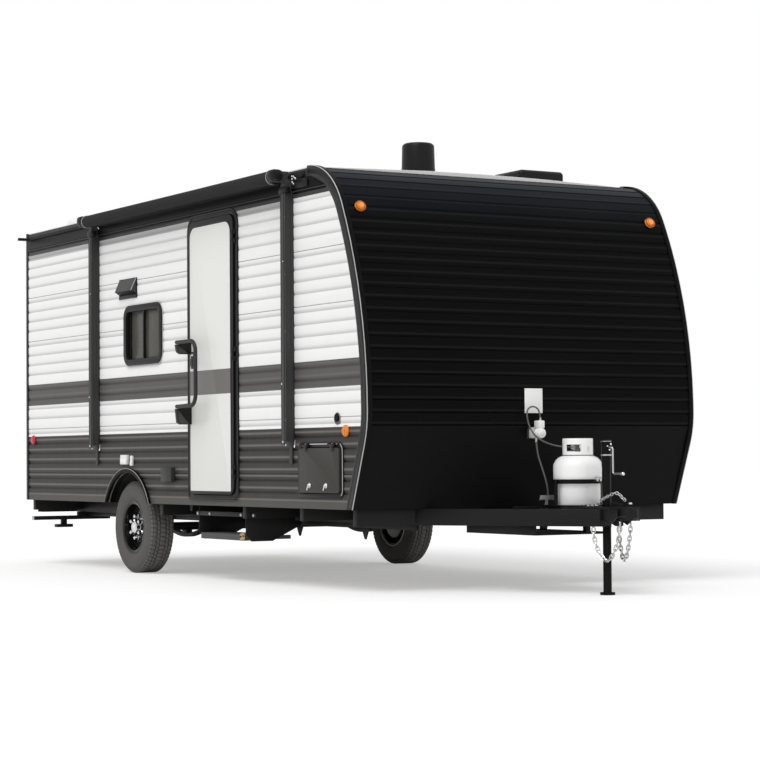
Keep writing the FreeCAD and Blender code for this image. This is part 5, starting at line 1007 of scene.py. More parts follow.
class CARAVAN_OT_awning(bpy.types.Operator):
    """Builds the rolled awning, its rail and its two arms"""

    bl_idname = "caravan.awning"
    bl_label = "Fit the Awning"

    def roll(self):
        """The rolled cloth with the flap behind it and the caps at its ends."""
        low, high = corners("awning_roller")
        y, z = (low.y + high.y) / 2, (low.z + high.z) / 2
        radius, length = (high.z - low.z) / 2, high.x - low.x
        core = radius * 0.62
        profile = [(0, 0), (core, 0), (core, 20)]
        for i in range(13):
            share = i / 12
            profile.append((radius * (0.955 - 0.030 * math.sin(math.pi * share)), 20 + share * (length - 40)))
        profile += [(core, length - 20), (core, length), (0, length)]
        flap = flat("y", y + radius * 0.93, oblong((low.x + 30, z - 4), (high.x - 30, z - radius * 0.98)))
        pieces = [
            turned("cloth_roll", "rolled_cloth", profile, (low.x, y, z), "x", 48, 0.5),
            slab("cloth_flap", "rolled_cloth", flap, (0, 3, 0), 1)]
        for x, way in ((low.x - 1, 1), (high.x + 1, -1)):
            pieces.append(turned("roll_cap", "moulding_plastic", [
                (0, 0), (radius * 0.80, 0), (radius, 4 * way), (radius, 30 * way), (radius * 0.94, 34 * way),
                (radius * 0.5, 34 * way), (0, 34 * way)], (x, y, z), "x", 40))
            reach = radius * 0.985
            ring = circle(Vector((x + 36 * way, y, z)), AXES["y"] * reach, AXES["z"] * reach)
            pieces.append(rod("cap_ring", "bead_and_highlight_white", ring, 2.2, 2, ring=True))
        fit_set("awning_roll", pieces, "awning_cloth", "awning_roller")

    def arms(self):
        """The two arms with their ribs, feet, heads, rivets and bolts."""
        arms = [traced("arm_channels", "arm_coat", "awning_arms", 3)]
        dots = []
        for middle in (-1715, 1343):
            foot = extent("awning_arms", lambda spot: abs(spot.x - middle * MM) < 0.06 and spot.z < 2.4)[0]
            face = foot.y
            # Ribs in the lighter copy of the coat: painted light on the arm's face
            for offset, half, proud in ((0, 15, 5), (-29, 4, 3), (29, 4, 3)):
                x = middle + offset
                outline = flat("y", face + 1, oblong((x - half, foot.z + 120), (x + half, 2490)))
                arms.append(slab("arm_rib", "arm_face", outline, (0, -proud, 0), 1.5))
            for z in (1060, 1620, 1980, 2340):
                dots.append(turned("arm_rivet", "chrome", [
                    (4, 0), (3.6, -1.5), (2.4, -2.4), (0, -2.6)], (middle + 24, face + 0.5, z), "y", 12))
            for x, z, size, proud in ((-20, 1290, 8, 0), (0, 925, 9, 5), (30, 905, 7, 0), (14, 2060, 5, 5)):
                dots.append(turned("arm_bolt", "chrome", [
                    (size, 0), (size, -3), (size * 0.7, -5), (0, -5.2)],
                    (middle + x, face - proud, z), "y", 6, 0.3))
            dots.append(block("arm_foot_clip", "chrome", (middle + 44, -1232, 888),
                              (middle + 60, -WALL_Y, 936), 2))
            arms.append(block("arm_elbow", "moulding_plastic", (middle - 52, -1372, 2566),
                              (middle + 44, -1292, 2638), 22))
            arms.append(block("arm_collar", "moulding_plastic", (middle - 50, face - 7, 2490),
                              (middle + 50, face + 30, 2532), 8))
            for x, z in ((66, 2592), (66, 2575), (66, 2556), (85, 2590), (98, 2580), (112, 2574), (82, 2545)):
                dots.append(turned("head_rivet", "chrome", [
                    (6.5, 0), (6, -2), (4, -4), (0, -4.5)], (middle + x, -1244.5, z), "y", 10))
        edit(arms[0])
        cut("z", 0.895)
        bpy.ops.object.mode_set(mode="OBJECT")
        recoat(arms[0], "arm_foot", lambda spot: spot.z < 0.895)
        fit_set("awning_arm_set", arms, "awning_grey", "awning_arms")
        fit_set("awning_rivets", dots, "zinc")

    def execute(self, context):
        self.roll()
        self.arms()
        nose = nose_line(context.scene.caravan_sizes, 0, -72)

        def reach(height):
            """How far forward the corner moulding lets a rail run at a height."""
            for first, second in zip(nose, nose[1:]):
                if first.z <= height <= second.z:
                    return first.x + (second.x - first.x) * (height - first.z) / max(second.z - first.z, 1e-3)
            return 1600

        rails = []
        # The rail is black, and its bands under the roll are darkened further with painted shade
        for finish, low, high, deep in (
                ("black_and_shade", 2504, 2576, 16), ("frame_grey", 2494, 2502, 12),
                ("black_and_shade", 2482, 2494, 5), ("fascia_grey", 2456, 2482, 4)):
            outline = flat("y", -1218, [(-3085, low), (reach(low), low), (reach(high), high), (-3085, high)])
            rails.append(slab("awning_rail", finish, outline, (0, -deep, 0), 1.2))
        outline = flat("y", -1234, [(1400, 2512), (1600, 2512), (1600, 2560), (1400, 2585)])
        rails.append(slab("rail_bracket", "moulding_plastic", outline, (0, -10, 0), 3))
        fit_set("awning_rails", rails, "awning_grey")
        return {"FINISHED"}


class CARAVAN_OT_wheels(bpy.types.Operator):
    """Builds the tyres, the slotted wheels, their caps and nuts, and the hubs"""

    bl_idname = "caravan.wheels"
    bl_label = "Fit the Wheels"

    def tyre(self):
        """One tyre about the right-hand wheel's middle: its body, tread ribs and blocks."""
        low, high = corners("tyre_right")
        centre = (low + high) / 2
        outer, half = (high.x - low.x) / 2, (high.y - low.y) / 2
        rim = 186
        side = [
            (rim, half - 30), (rim + 4, half - 18), (rim + 16, half - 13), (rim + 22, half - 9),
            (rim + 50, half - 3), (rim + 78, half), (rim + 80, half - 1.5), (rim + 84, half - 1.5),
            (rim + 86, half - 0.5),
            (outer - 36, half - 6), (outer - 24, half - 13), (outer - 13, half - 23)]
        ribs = ((-74, -50), (-46, -25), (-21, 21), (25, 46), (50, 74))
        crown = []
        for first, second in ribs:
            crown += [(outer - 10.5, first), (outer - 5, first + 0.6), (outer - 4.5, (first + second) / 2),
                      (outer - 5, second - 0.6), (outer - 10.5, second)]
        profile = [(r, -y) for r, y in side] + crown + side[::-1] + [(rim, half - 30), (rim, 30 - half)]
        body = turned("tyre_body", "tyre_rubber", profile, centre, "y", 72, 0.7)
        count = 64

        def at(share, radius, y):
            """A point about the wheel's axis, turned by a share of one tread block."""
            turn = share * TURN / count
            return Vector((radius * math.sin(turn), y, radius * math.cos(turn)))

        blocks = []
        for index, (first, second) in enumerate(ribs):
            middle, reach = (first + second) / 2, (second - first) / 2 - 1.2
            lag = 0.35 * (index % 2)
            points = [
                centre + at(lag + share, outer - 6, middle + way * reach)
                for share, way in ((0.06, -1), (0.80, -1), (0.94, 1), (0.20, 1))]
            blocks.append(slab("tread_block", "tread_rubber", points, at(lag + 0.5, 5.2, 0), 0.8))
        for way in SIDES:
            points = [
                centre + at(share, outer - deep, way * (half - inset))
                for share, deep, inset in ((0.15, 20, 16.5), (0.75, 20, 16.5), (0.75, 8, 27.5), (0.15, 8, 27.5))]
            blocks.append(slab("shoulder_lug", "tread_rubber", points, (0, way * 3, 2), 0.6))
        return joined("tyre", [body, ringed(joined("tread_blocks", blocks), count, centre)])

    def execute(self, context):
        first = self.tyre()
        second = again(first, (0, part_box("tyre_left")[0].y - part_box("tyre_right")[0].y, 0))
        for item, word in ((first, "right"), (second, "left")):
            wheel, hub = f"wheel_{word}", f"hub_{word}"
            fit(called(item, f"tyre_carcass_{word}"), "tyre", f"tyre_{word}", body=wheel)
            dress(f"wheel_disc_{word}", "wheel_paint", wheel, "wheel_black", 1.2, body=wheel)
            dress(f"hub_drum_{word}", "worn_steel", hub, "hub_steel", 1.2, body=cad_nodes[hub]["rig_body"])
        low, high = corners("wheel_right")
        centre = Vector(((low.x + high.x) / 2, low.y + 28, (low.z + high.z) / 2))
        cap = turned("hub_cap", "chrome", [
            (48, 30), (48, 12), (46, 10), (46, 0), (43, -18), (36, -25), (30, -25.5), (28, -23.5), (14, -23.5),
            (12, -26), (0, -26.5)], centre, "y", 40)
        nut = turned("wheel_nut", "chrome", [
            (0, 24), (18.5, 24), (18.5, 8), (16.5, 4), (16, -10), (13.5, -18), (7, -22.5), (0, -23)],
            centre + AXES["z"] * 78, "y", 8, 0.3)
        right = joined("wheel_caps_right", [cap, ringed(nut, 6, centre)])
        left = called(again(right), "wheel_caps_left")
        edit(left)
        bpy.ops.transform.mirror(constraint_axis=(False, True, False), center_override=(0, 0, 0))
        bpy.ops.mesh.normals_make_consistent(inside=False)
        bpy.ops.object.mode_set(mode="OBJECT")
        fit(right, "zinc", body="wheel_right")
        fit(left, "zinc", body="wheel_left")
        flares = [traced("arch_flare", "black_and_shade", "fender_flares", 3)]
        radius, height = 432, 325
        start = math.asin((508 - height) / radius)
        turns = [start + (math.pi - 2 * start) * i / 24 for i in range(25)]
        # A light grey line along each arch's edge: painted highlight
        for side in SIDES:
            arch = flat("y", side * 1239.5, [
                (WHEEL_X + radius * math.cos(turn), height + radius * math.sin(turn)) for turn in turns])
            flares.append(rod("arch_highlight_line", "highlight_grey", arch, 3))
        fit_set("arch_flares", flares, "arch_black", "fender_flares")
        return {"FINISHED"}


class CARAVAN_OT_chassis(bpy.types.Operator):
    """Finishes the chassis, the springs, the tongue, the coupler and the jack"""

    bl_idname = "caravan.chassis"
    bl_label = "Finish the Chassis"

    def rails(self):
        """The frame, the springs, the stabilisers and the skirts of the rails."""
        for node in (
                "chassis_rails", "crossmembers", "tongue_rails", "bumper", "spring_hangers", "leaf_springs",
                "axle"):
            slot = "spring_steel" if node == "leaf_springs" else "chassis_black"
            dress(node + "_paint", "chassis_paint", node, slot, 2.5)
        jacks = traced("stabiliser_arms", "chassis_paint", "stabiliser_jacks", 2.5)
        recoat(jacks, "zinc_plate", lambda spot: abs(spot.y) > 1.150)
        fit(jacks, "chassis_black", "stabiliser_jacks")
        skirts = []
        for side in SIDES:
            y = side * 702.5
            skirts.append(block("rail_skirt", "chassis_paint", (-3100, y - 11.5, 372), (2000, y + 11.5, 410), 2))
            for x in (-1620, -660, 420, 1300):
                web = flat("y", side * 690, [(x, 372), (x + 100, 372), (x + 60, 300), (x + 40, 300)])
                skirts.append(slab("skirt_web", "chassis_paint", web, (0, side * 6, 0), 1))
        fit_set("rail_skirts", skirts, "chassis_black")

    def coupler(self):
        """The coupler, narrowed to a rounded nose, with its gussets and bolt."""
        nose = traced("coupler_body", "chassis_paint", "coupler")
        edit(nose)
        cut("x", 3.225)
        pick("VERT", lambda corner: corner.co.x > 3.28)
        bpy.ops.transform.resize(value=(1, 0.62, 0.62), center_override=(3.295, 0, 0.490))
        bpy.ops.object.mode_set(mode="OBJECT")
        change("BEVEL", width=0.010, segments=3, limit_method="ANGLE", angle_limit=0.35)
        bpy.ops.object.shade_smooth_by_angle(angle=0.7)
        pieces = [nose]
        for side in SIDES:
            gusset = flat("y", side * 60, [(2880, 508), (3117, 414), (3195, 462), (3195, 508)])
            pieces.append(slab("coupler_gusset", "chassis_paint", gusset, (0, side * 5, 0), 1.5))
            edge = flat("y", side * 66.5, [(2880, 506), (3117, 415), (3195, 463)])
            pieces.append(rod("gusset_edge", "cover_grey", [*edge, (3262, side * 50, 470)], 2.2))
        top = corners("coupler")[1].z
        pieces.append(turned("coupler_bolt", "chrome", [
            (12.5, 0), (12.5, 6), (10, 10), (5, 11.5), (0, 12)], (3232, 0, top - 10), "z", 6, 0.3))
        fit_set("coupler_set", pieces, "chassis_black", "coupler")

    def tray(self):
        """The low tray with its floor, its rims and its corner posts."""
        (left, near, foot), (right, far, top) = corners("tongue_tray")
        tray = [block("tray_floor", "chassis_paint", (left, near, foot), (right, far, foot + 5), 1.5)]
        for name, low, high in (
                ("tray_side", (left, near), (right, near + 4, top)),
                ("tray_side", (left, far - 4), (right, far, foot + 12)),
                ("tray_end", (left, near), (left + 4, far, foot + 12)),
                ("tray_end", (right - 4, near), (right, far, foot + 12)),
                ("tray_post", (right - 36, near + 1), (right - 2, near + 11, top)),
                ("tray_post", (right - 36, 95), (right - 2, 129, top)),
                ("tray_post", (right - 36, far - 35), (right - 2, far - 1, top)),
                ("tray_post", (left + 2, far - 6), (left + 32, far, top)),
                ("tray_post", (right - 32, far - 6), (right - 2, far, top))):
            tray.append(block(name, "chassis_paint", (*low, foot), high, 1.2))
        fit_set("tray_pan", tray, "chassis_black", "tongue_tray")

    def jack(self):
        """The tongue jack with its leg, collars, crank and screws."""
        dress("jack_inner_leg", "jack_paint", "jack_leg", "jack_black", 1.5, body="jack_leg")
        crank = bends(flat("y", 0, [(3020, 872), (3068, 872), (3068, 716), (3160, 716)]), 14)
        head = [
            turned("jack_outer", "jack_paint", [
                (23.5, 400), (27, 400), (27, 760), (28.5, 762), (28.5, 912), (26, 919), (18, 922), (0, 922)],
                (JACK_X, 0, 0), "z", 36),
            rod("jack_crank", "zinc_plate", crank, 5.8),
            turned("crank_knob", "chrome", [
                (0, 0), (8, 0), (10.5, 4), (10.5, 18), (7, 23), (0, 23.5)], (3152, 0, 716), "x", 20)]
        for z, tall in ((822, 9), (906, 4)):
            head.append(turned("jack_collar", "zinc_plate", [
                (28.5, 0), (31.5, 1), (31.5, tall), (28.5, tall + 1)], (JACK_X, 0, z), "z", 36))
        for y, z, size in ((10, 892, 7), (-14, 880, 5), (0, 858, 6)):
            head.append(turned("head_screw", "chrome", [
                (size, 0), (size, 3), (size * 0.7, 5), (0, 5.2)], (JACK_X + 31.5, y, z), "x", 8, 0.3))
        fit_set("jack_set", head, "jack_black", "jack_tube")

    def chains(self):
        """The safety chains, and the length of chain that lies along the tongue with its hook."""
        dress("chain_links", "zinc_plate", "safety_chains", "zinc", 0, 1.2)
        path = [Vector(spot) for spot in (
            (2757, -60, 521), (2850, -60, 522), (2992, -60, 529), (3032.5, -60, 562), (3100, -60, 586),
            (3167, -58, 606), (3190, -50, 600), (3230, -46, 570), (3262, -44, 556))]
        steps = []
        for first, second in zip(path, path[1:]):
            count = round((second - first).length / 20)
            steps += [first.lerp(second, i / count) for i in range(count)]
        links = []
        for index, (first, second) in enumerate(zip(steps, steps[1:])):
            way = (second - first).normalized()
            across = AXES["y"] if index % 2 else way.cross(AXES["y"]).normalized()
            link = circle((first + second) / 2, way * 14.5, across * 8.5, 12)
            links.append(rod("chain_link", "zinc_plate", link, 2.6, 2, ring=True))
        fit_set("coiled_chain", links, "zinc")
        hook = bends(flat("y", -60, [(2757, 521), (2722, 518), (2700, 528), (2722, 536)]), 8)
        fit(rod("chain_hook", "jack_paint", hook, 5), "chassis_black")

    def execute(self, context):
        self.rails()
        self.coupler()
        self.tray()
        self.jack()
        self.chains()
        return {"FINISHED"}


class CARAVAN_OT_gas(bpy.types.Operator):
    """Builds the gas cylinder, its band, the regulator and the two hoses"""

    bl_idname = "caravan.gas"
    bl_label = "Fit the Gas Supply"

    def hose(self, name, node, points, radius, length):
        """A hose on a NURBS spline over its route's points in metres, which is what the frame measures."""
        line = bpy.data.curves.new(name, "CURVE")
        line.dimensions = "3D"
        run = line.splines.new("NURBS")
        run.points.add(len(points) - 1)
        for knot, spot in zip(run.points, points):
            knot.co = (*spot, 1)
        run.order_u = 3
        run.use_endpoint_u = True
        line.resolution_u = 16
        line.bevel_depth = radius
        line.bevel_resolution = 4
        item = bpy.data.objects.new(name, line)
        bpy.context.collection.objects.link(item)
        fit(coat(item, "gas_line_rubber"), "hose_black", node)

    def cylinder(self):
        """The gas cylinder with its pierced collar, its valve and its straps."""
        low, high = corners("gas_cylinder")
        x, z = (low.x + high.x) / 2, low.z
        centre, radius = (x, 0, z), (high.x - low.x) / 2
        body = turned("cylinder_body", "cylinder_paint", [
            (radius - 30, 0), (radius - 17, 0), (radius - 15, 4), (radius - 15, 146), (radius - 2, 152),
            (radius, 156), (radius, 190), (radius, 226), (radius - 3, 246), (radius - 14, 268),
            (radius - 34, 286), (radius - 62, 299), (radius - 95, 306), (22, 309), (22, 318), (0, 318)],
            centre, steps=72, smooth=0.5)
        collar = turned("cylinder_collar", "cylinder_paint", [
            (89, 300), (92.5, 300), (92.5, 396), (91, 400), (89, 398), (89, 300)], centre, steps=72, smooth=0.5)
        slot = flat("z", z + 320, [(x - 6, -40), (x + 70, -10), (x + 120, -90), (x + 30, -145)])
        tool = joined("collar_openings", [
            slab("slot", "cylinder_paint", slot, (0, 0, 43), 0),
            block("slot", "cylinder_paint", (x + 50, 2, z + 316), (x + 150, 23, z + 353), 9),
            block("slot", "cylinder_paint", (x - 160, -45, z + 325), (x - 50, 45, z + 372), 8)])
        clear(collar)
        change("BOOLEAN", operation="DIFFERENCE", object=tool, solver="EXACT")
        bpy.ops.object.shade_smooth_by_angle(angle=0.5)
        bpy.data.objects.remove(tool)
        bottle = [
            body, collar,
            turned("collar_gap", "black_and_shade", [
                (90, 294), (94.5, 295), (94.5, 300), (90, 300.5)], centre, steps=72),
            turned("valve_stem", "worn_steel", [
                (0, 300), (16, 300), (16, 340), (11, 342), (11, 362), (0, 362)], centre, steps=24),
            turned("valve_wheel", "moulding_plastic", [
                (0, 360), (8, 360), (26, 363), (28, 367), (28, 375), (24, 379), (0, 380)], centre, "z", 10, 0.3),
            turned("valve_outlet", "zinc_plate", [
                (0, 0), (13, 0), (13, 18), (17, 20), (17, 50), (10, 53), (0, 53)],
                (x - 58, 0, z + 347.5), "x", 24)]
        fit_set("gas_bottle", bottle, "gas_white", "gas_cylinder")
        dress("cylinder_straps", "jack_paint", "cylinder_carrier", "carrier_black", 2)
        hold_down = bends([(2715, 177, 512), (2715, 182, 889), (2715, 242.6, 898.5)], 10)
        plate = flat("x", 2553, [(-174, 557), (-68, 557), (-68, 587), (-166, 587)])
        holders = [
            rod("hold_down_rod", "zinc_plate", hold_down, 4),
            rod("clamp_bolt", "zinc_plate", [(2868, 10, 684), (2868, 68, 684)], 6),
            block("clamp_lug", "zinc_plate", (2865.5, 20, 670), (2878, 34, 698), 2),
            block("clamp_lug", "zinc_plate", (2865.5, 44, 670), (2878, 58, 698), 2),
            slab("carrier_plate", "zinc_plate", plate, (4, 0, 0), 1),
            block("plate_foot", "zinc_plate", (2552, -130, 506), (2558, -112, 560), 1)]
        fit_set("cylinder_holders", holders, "zinc")

    def regulator(self):
        """The regulator with its bowl, bracket and fittings."""
        bracket = flat("x", NOSE_X, [(-83.5, 935), (-30, 932), (-30, 1004), (-74, 1002), (-83.5, 985)])
        housing = [
            block("regulator_block", "cylinder_paint", (NOSE_X + 4, -31, 996), (2352, 13, 1044.5), 6),
            turned("regulator_bowl", "cylinder_paint", [
                (0, 0), (26, 0), (31, 6), (33, 16), (33, 46), (29, 54), (18, 58), (0, 58.5)],
                (2302, -12, 966), "x", 40),
            turned("bowl_cap", "plate_white", [
                (0, 0), (14, 0), (14, 5), (11, 7), (0, 7)], (2359, -12, 966), "x", 24),
            slab("regulator_bracket", "zinc_plate", bracket, (30, 0, 0), 4),
            turned("inlet_fitting", "zinc_plate", [
                (0, 0), (8.5, 0), (8.5, 8), (6.5, 10), (6.5, 22), (0, 22)], (2329, -6, 1040), "z", 12, 0.3),
            turned("outlet_fitting", "zinc_plate", [
                (0, 0), (9, 0), (9, -10), (7, -12), (7, -26), (0, -26)], (2329, -39, 936), "z", 12, 0.3)]
        fit_set("regulator_set", housing, "gas_white", "gas_regulator")

    def execute(self, context):
        self.cylinder()
        self.regulator()
        self.hose("pigtail", "pigtail_hose", [
            (2.329, -0.006, 1.0449), (2.329, -0.006, 1.1066), (2.329, -0.060, 1.1376), (2.331, -0.114, 1.1066),
            (2.351, -0.104, 0.9946), (2.419, -0.078, 0.9246), (2.5347, -0.052, 0.8866), (2.6127, 0, 0.8766),
            (2.6847, 0, 0.8766)], 0.005, 0.668)
        self.hose("supply_hose", "gas_hose", [
            (2.329, -0.039, 0.9327), (2.335, -0.038, 0.847), (2.383, -0.030, 0.743), (2.405, -0.010, 0.643),
            (2.391, 0.004, 0.565), (2.327, 0, 0.4827), (2.1973, -0.060, 0.4567), (2.0523, -0.060, 0.4567)],
            0.0055, 0.769)
        return {"FINISHED"}


class CARAVAN_OT_step(bpy.types.Operator):
    """Builds the entry step with its grip tread and bracket"""

    bl_idname = "caravan.step"
    bl_label = "Fit the Step"

    def execute(self, context):
        dress("step_mount", "chassis_paint", "step_frame", "step_black", 2)
        parts = [traced("step_tread", "grip_paint", "entry_step", 4)]
        low, high = corners("entry_step")
        for i in range(7):
            y = low.y + 24 + i * 26
            parts.append(block("tread_rib", "grip_paint", (low.x + 40, y, high.z - 1),
                               (high.x - 40, y + 8, high.z + 2.2), 0.9))
        bracket = flat("y", low.y - 3, [
            (high.x - 70, low.z + 4), (high.x - 4, low.z + 8), (high.x - 4, high.z + 10),
            (high.x - 30, high.z + 14), (high.x - 70, high.z + 6)])
        parts.append(slab("step_bracket", "brass_plate", bracket, (0, -3, 0), 1))
        for x, z in ((high.x - 56, high.z - 14), (high.x - 20, high.z - 10)):
            parts.append(turned("bracket_bolt", "moulding_plastic", [
                (7, 0), (7, -3), (5, -4.5), (0, -5)], (x, low.y - 6, z), "y", 8, 0.3))
        fit_set("step_set", parts, "step_black", "entry_step", body="entry_step")
        low, high = corners("step_frame")
        bolts = []
        for x in (low.x - 12, 50, high.x - 70, high.x + 110):
            bolts.append(turned("frame_bolt", "zinc_plate", [
                (11, 0), (11, -4), (8, -7), (0, -8)], (x, -1159.5, 450), "y", 8, 0.3))
        rail = block("bolt_rail", "chassis_paint", (low.x - 40, -1160, 436), (high.x + 140, -1150, 466), 2)
        fit(rail, "step_black")
        fit_set("frame_bolts", bolts, "zinc")
        loop = bends(flat("y", -1158, [(-262, 506), (-250, 474), (-236, 466), (-232, 506)]), 10)
        fit(rod("strap_loop", "hood_face", loop, 4.5), "step_black")
        return {"FINISHED"}


class CARAVAN_OT_lamps(bpy.types.Operator):
    """Builds the marker and tail lamps, the vent hood and the wall covers"""

    bl_idname = "caravan.lamps"
    bl_label = "Fit the Lamps"

    def execute(self, context):
        lamps = [traced("amber_domes", "amber_lens", "amber_lamps", 3, 0.7, steps=3)]
        for side in SIDES:
            low, high = extent("amber_lamps", lambda spot: spot.z > 2.2 and spot.y * side > 0)
            lean = math.atan2(high.x - low.x - 16, high.z - low.z)
            out = Vector((math.cos(lean), 0, math.sin(lean)))
            rise = Vector((-out.z, 0, out.x))
            wide = high.y - low.y
            face = (low + high) / 2 + out * (wide * 0.22)
            # Each dome gets a deeper ring and a painted highlight at its heart
            for finish, size, thick, proud in (("amber_ring", 0.88, 4.2, -6), ("amber_heart", 0.26, 6, 2)):
                reach = size * wide / 2
                ring = circle(face + out * proud, AXES["y"] * reach, rise * reach)
                lamps.append(rod("lamp_ring", finish, ring, thick, 3, ring=True))
        for side in SIDES:
            low, high = extent("amber_lamps", lambda spot: spot.z < 1.4 and spot.y * side > 0)
            edge = (high.y if side > 0 else low.y) - side * 1.5
            for share in (0.35, 0.65):
                x = low.x + (high.x - low.x) * share
                lamps.append(rod("lamp_flute", "amber_ring", [(x, edge, low.z + 14), (x, edge, high.z - 14)], 2.4))
        fit_set("amber_set", lamps, "lens_amber", "amber_lamps")
        dress("red_domes", "red_lens", "red_lamps", "lens_red", 3, 0.7, steps=3)

        def plain(spot):
            """Tells whether a spot is on a cover that keeps the node's own shape."""
            return spot.y >= 0 or not (-1.40 < spot.x < -0.95 or spot.x > 1.80)

        cheek = [(-1222.5, 2130), (-1261, 2044), (-1222.5, 2020)]
        covers = [
            traced("side_covers", "cover_grey", "wall_fittings", 2, only=plain),
            block("hood_base", "moulding_plastic", (-1312, -1223.5, 1990), (-1000, -1217.5, 2136), 2),
            slab("hood_flap", "hood_face", [
                (-1305, -1222.5, 2132), (-1008, -1222.5, 2132), (-1012, -1264, 2042), (-1300, -1264, 2042)],
                (0, 2.5, -1), 0.8),
            slab("hood_cheek", "frame_grey", flat("x", -1010, cheek), (2, 0, 0), 0.6),
            slab("hood_cheek", "frame_grey", flat("x", -1302, cheek), (2, 0, 0), 0.6),
            rod("hood_lip", "bead_and_highlight_white", [(-1010, -1224.5, 2132), (-1012, -1265, 2042)], 2.6),
            # A dark sheet in the hood's opening: painted shade
            slab("hood_throat_shade", "black_and_shade", [
                (-1298, -1222.5, 2016), (-1016, -1222.5, 2016), (-1016, -1256, 2040), (-1298, -1256, 2040)],
                (0, 0, 2), 0.5),
            slab("hood_sill", "cover_grey", flat("y", -1223, oblong((-1306, 1992), (-1004, 2014))), (0, -4, 0), 1),
            block("outlet_cover", "outlet_white", (-1262, -1242, 786), (-1150, -1218, 856), 4),
            block("outlet_flap", "plate_white", (-1255, -1246, 792), (-1157, -1241, 828), 2),
            block("outlet_cover", "outlet_white", (-1108, -1234, 776), (-1072, -1218, 850), 4),
            block("outlet_flap", "plate_white", (-1104, -1237, 780), (-1076, -1233, 812), 2),
            turned("port_flange", "worn_steel", [
                (37, 0), (37, -3), (34, -6), (30, -6), (30, -3), (0, -3)], (1926, -WALL_Y, 1061), "y", 32),
            turned("port_cap", "black_and_shade", [
                (26, -3), (26, -10), (22, -13), (0, -13)], (1928, -WALL_Y, 1067), "y", 28)]
        fit_set("wall_covers", covers, "fitting_black", "wall_fittings")
        return {"FINISHED"}


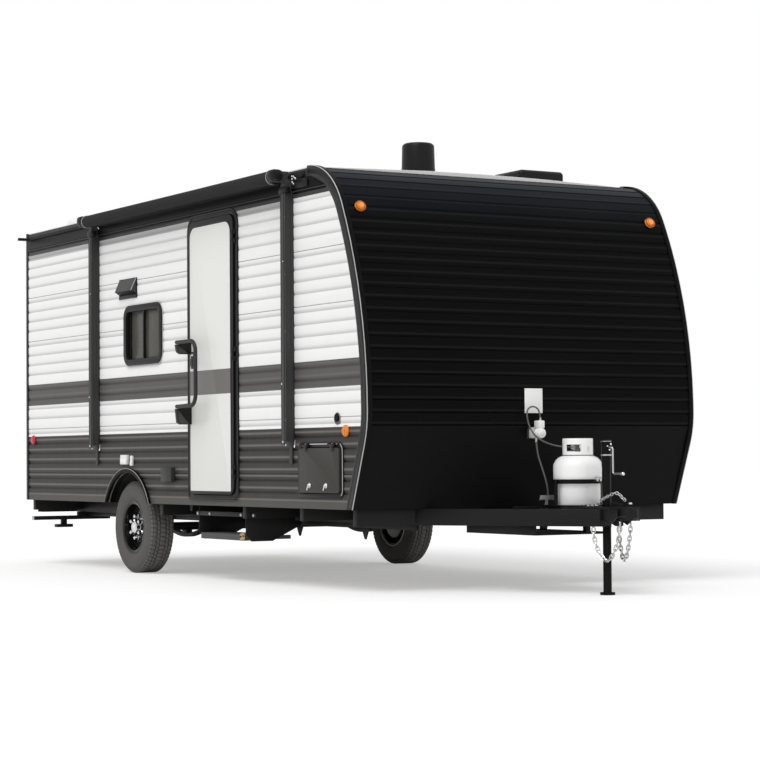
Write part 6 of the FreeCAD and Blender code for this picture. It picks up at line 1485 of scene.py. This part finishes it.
class CARAVAN_OT_stage(bpy.types.Operator):
    """Sets up the floor, the light and the photograph's camera"""

    bl_idname = "caravan.stage"
    bl_label = "Set the Stage"

    def execute(self, context):
        stage = context.scene.caravan_stage
        bpy.ops.object.select_all(action="DESELECT")
        bpy.ops.mesh.primitive_plane_add(size=160, location=(0, 0, 0))
        floor = context.object
        floor.name = "studio_floor"
        finish = Finish("studio_floor", Base_Color=(0.90, 0.90, 0.90), Roughness=0.9)
        finish.set(Specular_IOR_Level=0.0)
        rays = finish.node("ShaderNodeLightPath", {})
        glow = finish.node("ShaderNodeEmission", {}, Color=(1, 1, 1), Strength=1.35)["Emission"]
        out = finish.tree.nodes["Material Output"]
        seen = finish.node(
            "ShaderNodeMixShader", {}, rays["Is Camera Ray"] * 0.28,
            Wire(finish, finish.shader.outputs["BSDF"]), glow)["Shader"]
        finish.tree.links.new(seen.socket, out.inputs["Surface"])
        floor.data.materials.append(finish.material)

        world = bpy.data.worlds.new("studio")
        context.scene.world = world
        world.use_nodes = True
        tree = world.node_tree
        base = tree.nodes["Background"]
        base.inputs["Strength"].default_value = stage.sky
        bright = tree.nodes.new("ShaderNodeBackground")
        path = tree.nodes.new("ShaderNodeLightPath")
        blend = tree.nodes.new("ShaderNodeMixShader")
        for ground in (base, bright):
            ground.inputs["Color"].default_value = (1, 1, 1, 1)
        tree.links.new(path.outputs["Is Camera Ray"], blend.inputs[0])
        tree.links.new(base.outputs[0], blend.inputs[1])
        tree.links.new(bright.outputs[0], blend.inputs[2])
        tree.links.new(blend.outputs[0], tree.nodes["World Output"].inputs["Surface"])

        bpy.ops.object.light_add(type="SUN", location=(4, -6, 9))
        key = context.object
        key.name = "key_light"
        key.data.energy = stage.sun
        key.data.angle = math.radians(35)
        key.rotation_euler = Vector((-0.35, 0.62, -1.0)).to_track_quat("-Z", "Y").to_euler()

        bpy.ops.object.camera_add(location=stage.eye)
        camera = context.object
        camera.name = "photograph_camera"
        context.scene.camera = camera
        level = math.cos(stage.pitch)
        ahead = Vector((math.cos(stage.yaw) * level, math.sin(stage.yaw) * level, math.sin(stage.pitch)))
        side = Vector((math.sin(stage.yaw), -math.cos(stage.yaw), 0))
        above = side.cross(ahead)
        turned_side = math.cos(stage.roll) * side + math.sin(stage.roll) * above
        turned_above = math.cos(stage.roll) * above - math.sin(stage.roll) * side
        camera.matrix_world = Matrix.Translation(stage.eye) @ Matrix(
            (turned_side, turned_above, -ahead)).transposed().to_4x4()
        camera.data.lens = stage.lens
        camera.data.sensor_width = 36
        context.scene.view_settings.view_transform = "Standard"
        return {"FINISHED"}


class CARAVAN_PT_panel(bpy.types.Panel):
    """Lists the steps that dress the caravan"""

    bl_idname = "CARAVAN_PT_panel"
    bl_label = "Travel Caravan"
    bl_space_type = "VIEW_3D"
    bl_region_type = "UI"
    bl_category = "Caravan"

    def draw(self, context):
        for step in STEPS:
            self.layout.operator(step.bl_idname)
        for group in (context.scene.caravan_colours, context.scene.caravan_sizes, context.scene.caravan_stage):
            for word in group.__annotations__:
                self.layout.prop(group, word)


GROUPS = {"caravan_colours": CaravanColours, "caravan_sizes": CaravanSizes, "caravan_stage": CaravanStage}
STEPS = (
    CARAVAN_OT_finishes, CARAVAN_OT_siding, CARAVAN_OT_shell, CARAVAN_OT_windows, CARAVAN_OT_door,
    CARAVAN_OT_hatch, CARAVAN_OT_awning, CARAVAN_OT_wheels, CARAVAN_OT_chassis, CARAVAN_OT_gas,
    CARAVAN_OT_step, CARAVAN_OT_lamps, CARAVAN_OT_stage)


def register():
    for group in (*GROUPS.values(), *STEPS, CARAVAN_PT_panel):
        bpy.utils.register_class(group)
    for word, group in GROUPS.items():
        setattr(bpy.types.Scene, word, bpy.props.PointerProperty(type=group))


def unregister():
    for word in GROUPS:
        delattr(bpy.types.Scene, word)
    for group in reversed((*GROUPS.values(), *STEPS, CARAVAN_PT_panel)):
        bpy.utils.unregister_class(group)


def main():
    register()
    for step in STEPS:
        family, word = step.bl_idname.split(".")
        getattr(getattr(bpy.ops, family), word)()


if __name__ == "__main__":
    main()
